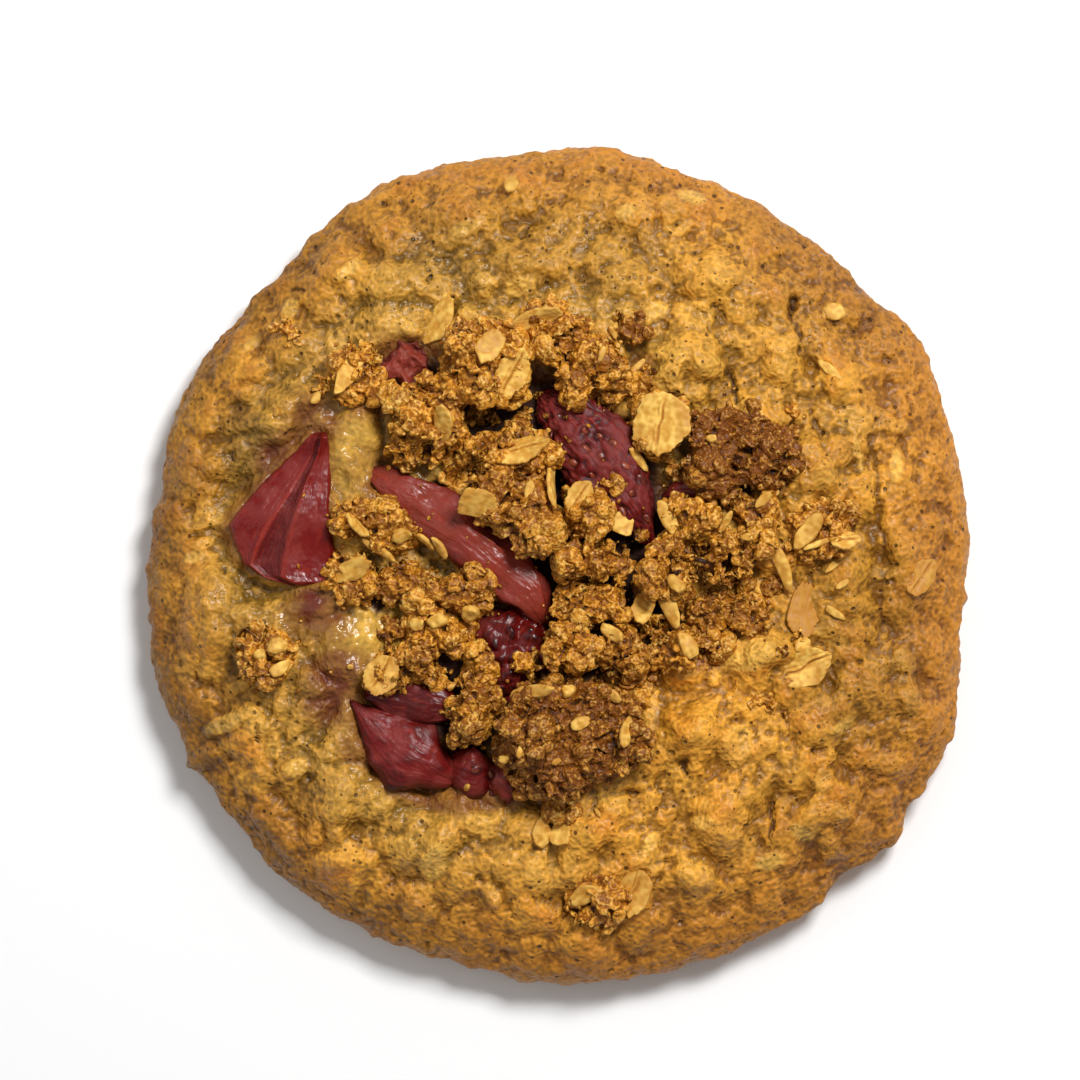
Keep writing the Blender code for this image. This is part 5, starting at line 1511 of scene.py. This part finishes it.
def makeSeeds(tree):
    bm = bmesh.new()
    rng = random.Random(31)
    for x, y in seedPlaces:
        height, normal = restOn(tree, x, y)
        size = [half * 0.5 * rng.uniform(0.85, 1.1) for half in fruitLook["seedSize"]]
        turn = standOn(normal) @ Matrix.Rotation(rng.uniform(-0.5, 0.5) - 0.9, 4, "Z")
        place = Matrix.Translation((x, y, height + fruitLook["seedLift"]))
        shape = place @ turn @ Matrix.Diagonal((*size, 1.0))
        bmesh.ops.create_icosphere(bm, subdivisions=2, radius=1.0, matrix=shape)
    return newPiece("strawberrySeeds", bm, seedFinish)


crumbScatter = {"count": 420, "size": (0.16, 0.52), "thinning": 3.5, "darkest": 0.6}


def makeFineCrumbs(tree):
    # loose crumbs round the heap, most of them close to a clump
    bm = bmesh.new()
    rng = random.Random(77)
    brown = bm.verts.layers.float.new("darkening")
    proud = bm.verts.layers.float.new("proud")
    homes = list(clumps.values())
    for item in range(crumbScatter["count"]):
        clump = rng.choice(homes)
        angle = rng.uniform(0.0, math.tau)
        far = rng.uniform(0.75, 1.0) + rng.expovariate(crumbScatter["thinning"])
        along, across = 0.5 * clump[2] * far * math.cos(angle), 0.5 * clump[3] * far * math.sin(angle)
        x, y = turnedPlace(clump[0], clump[1], clump[4], along, across)
        size = rng.uniform(*crumbScatter["size"]) * rng.uniform(0.5, 1.0)
        height = restOn(tree, x, y)[0]
        shape = Matrix.Diagonal((size, size * rng.uniform(0.6, 1.0), size * rng.uniform(0.6, 0.9), 1.0))
        spin = Euler((rng.uniform(0, 3), rng.uniform(0, 3), rng.uniform(0, 3))).to_matrix().to_4x4()
        place = Matrix.Translation((x, y, height + 0.3 * size)) @ spin @ shape
        verts = bmesh.ops.create_icosphere(bm, subdivisions=2, radius=1.0, matrix=place)["verts"]
        dark = rng.uniform(0.0, crumbScatter["darkest"])
        for vert in verts:
            bump = noise.noise(vert.co * 2.2) * 0.5
            vert.co += (vert.co - place.translation) * bump
            vert[brown] = dark
            vert[proud] = 0.65 + bump
    return newPiece("fineCrumbs", bm, crumbleFinish)


seeds = makeSeeds(surfaceTree(fruitPieces))
fineCrumbs = makeFineCrumbs(restTree)
print("seeds and crumbs", len(seeds.data.polygons), len(fineCrumbs.data.polygons))


# ---- floor, light and camera

# places and sizes in metres, powers in watts
studio = {
    "floor": (0.93, 0.93, 0.93, 1.0), "floorSize": 1.5, "floorRoughness": 0.7, "world": 0.28,
    "key": {"place": (0.24, 0.36, 0.68), "size": 0.22, "power": 6.4},
    "fill": {"place": (-0.5, 0.1, 0.5), "size": 0.6, "power": 0.7},
}
# the camera's place, a level of the cookie and the width that it sees at that level, in millimetres
view = {"x": -2.42, "y": 3.41, "height": 1000.0, "level": 6.0, "width": 141.5, "sensor": 36.0}


def makeFloor():
    bm = bmesh.new()
    bmesh.ops.create_grid(bm, x_segments=1, y_segments=1, size=studio["floorSize"])
    bmesh.ops.translate(bm, vec=(0.0, 0.0, -0.2 * mm), verts=bm.verts)
    mesh = bpy.data.meshes.new("floor")
    bm.to_mesh(mesh)
    bm.free()
    finish = bpy.data.materials.new("paleFloor")
    finish.use_nodes = True
    shader = finish.node_tree.nodes["Principled BSDF"]
    shader.inputs["Base Color"].default_value = studio["floor"]
    shader.inputs["Roughness"].default_value = studio["floorRoughness"]
    mesh.materials.append(finish)
    floor = bpy.data.objects.new("floor", mesh)
    bpy.context.scene.collection.objects.link(floor)


def makeLamp(name, place, size, power):
    lamp = bpy.data.lights.new(name, "AREA")
    lamp.size = size
    lamp.energy = power
    holder = bpy.data.objects.new(name, lamp)
    holder.location = place
    holder.rotation_euler = (-Vector(place)).to_track_quat("-Z", "Y").to_euler()
    bpy.context.scene.collection.objects.link(holder)


def makeCamera():
    camera = bpy.data.cameras.new("camera")
    camera.sensor_width = view["sensor"]
    camera.lens = view["sensor"] * (view["height"] - view["level"]) / view["width"]
    holder = bpy.data.objects.new("camera", camera)
    holder.location = (view["x"] * mm, view["y"] * mm, view["height"] * mm)
    bpy.context.scene.collection.objects.link(holder)
    bpy.context.scene.camera = holder


makeFloor()
makeLamp("key", **studio["key"])
makeLamp("fill", **studio["fill"])
makeCamera()
world = bpy.data.worlds.new("studio")
world.use_nodes = True
world.node_tree.nodes["Background"].inputs["Color"].default_value = (1.0, 1.0, 1.0, 1.0)
world.node_tree.nodes["Background"].inputs["Strength"].default_value = studio["world"]
bpy.context.scene.world = world
bpy.context.scene.view_settings.view_transform = "Standard"
print("stage ready")
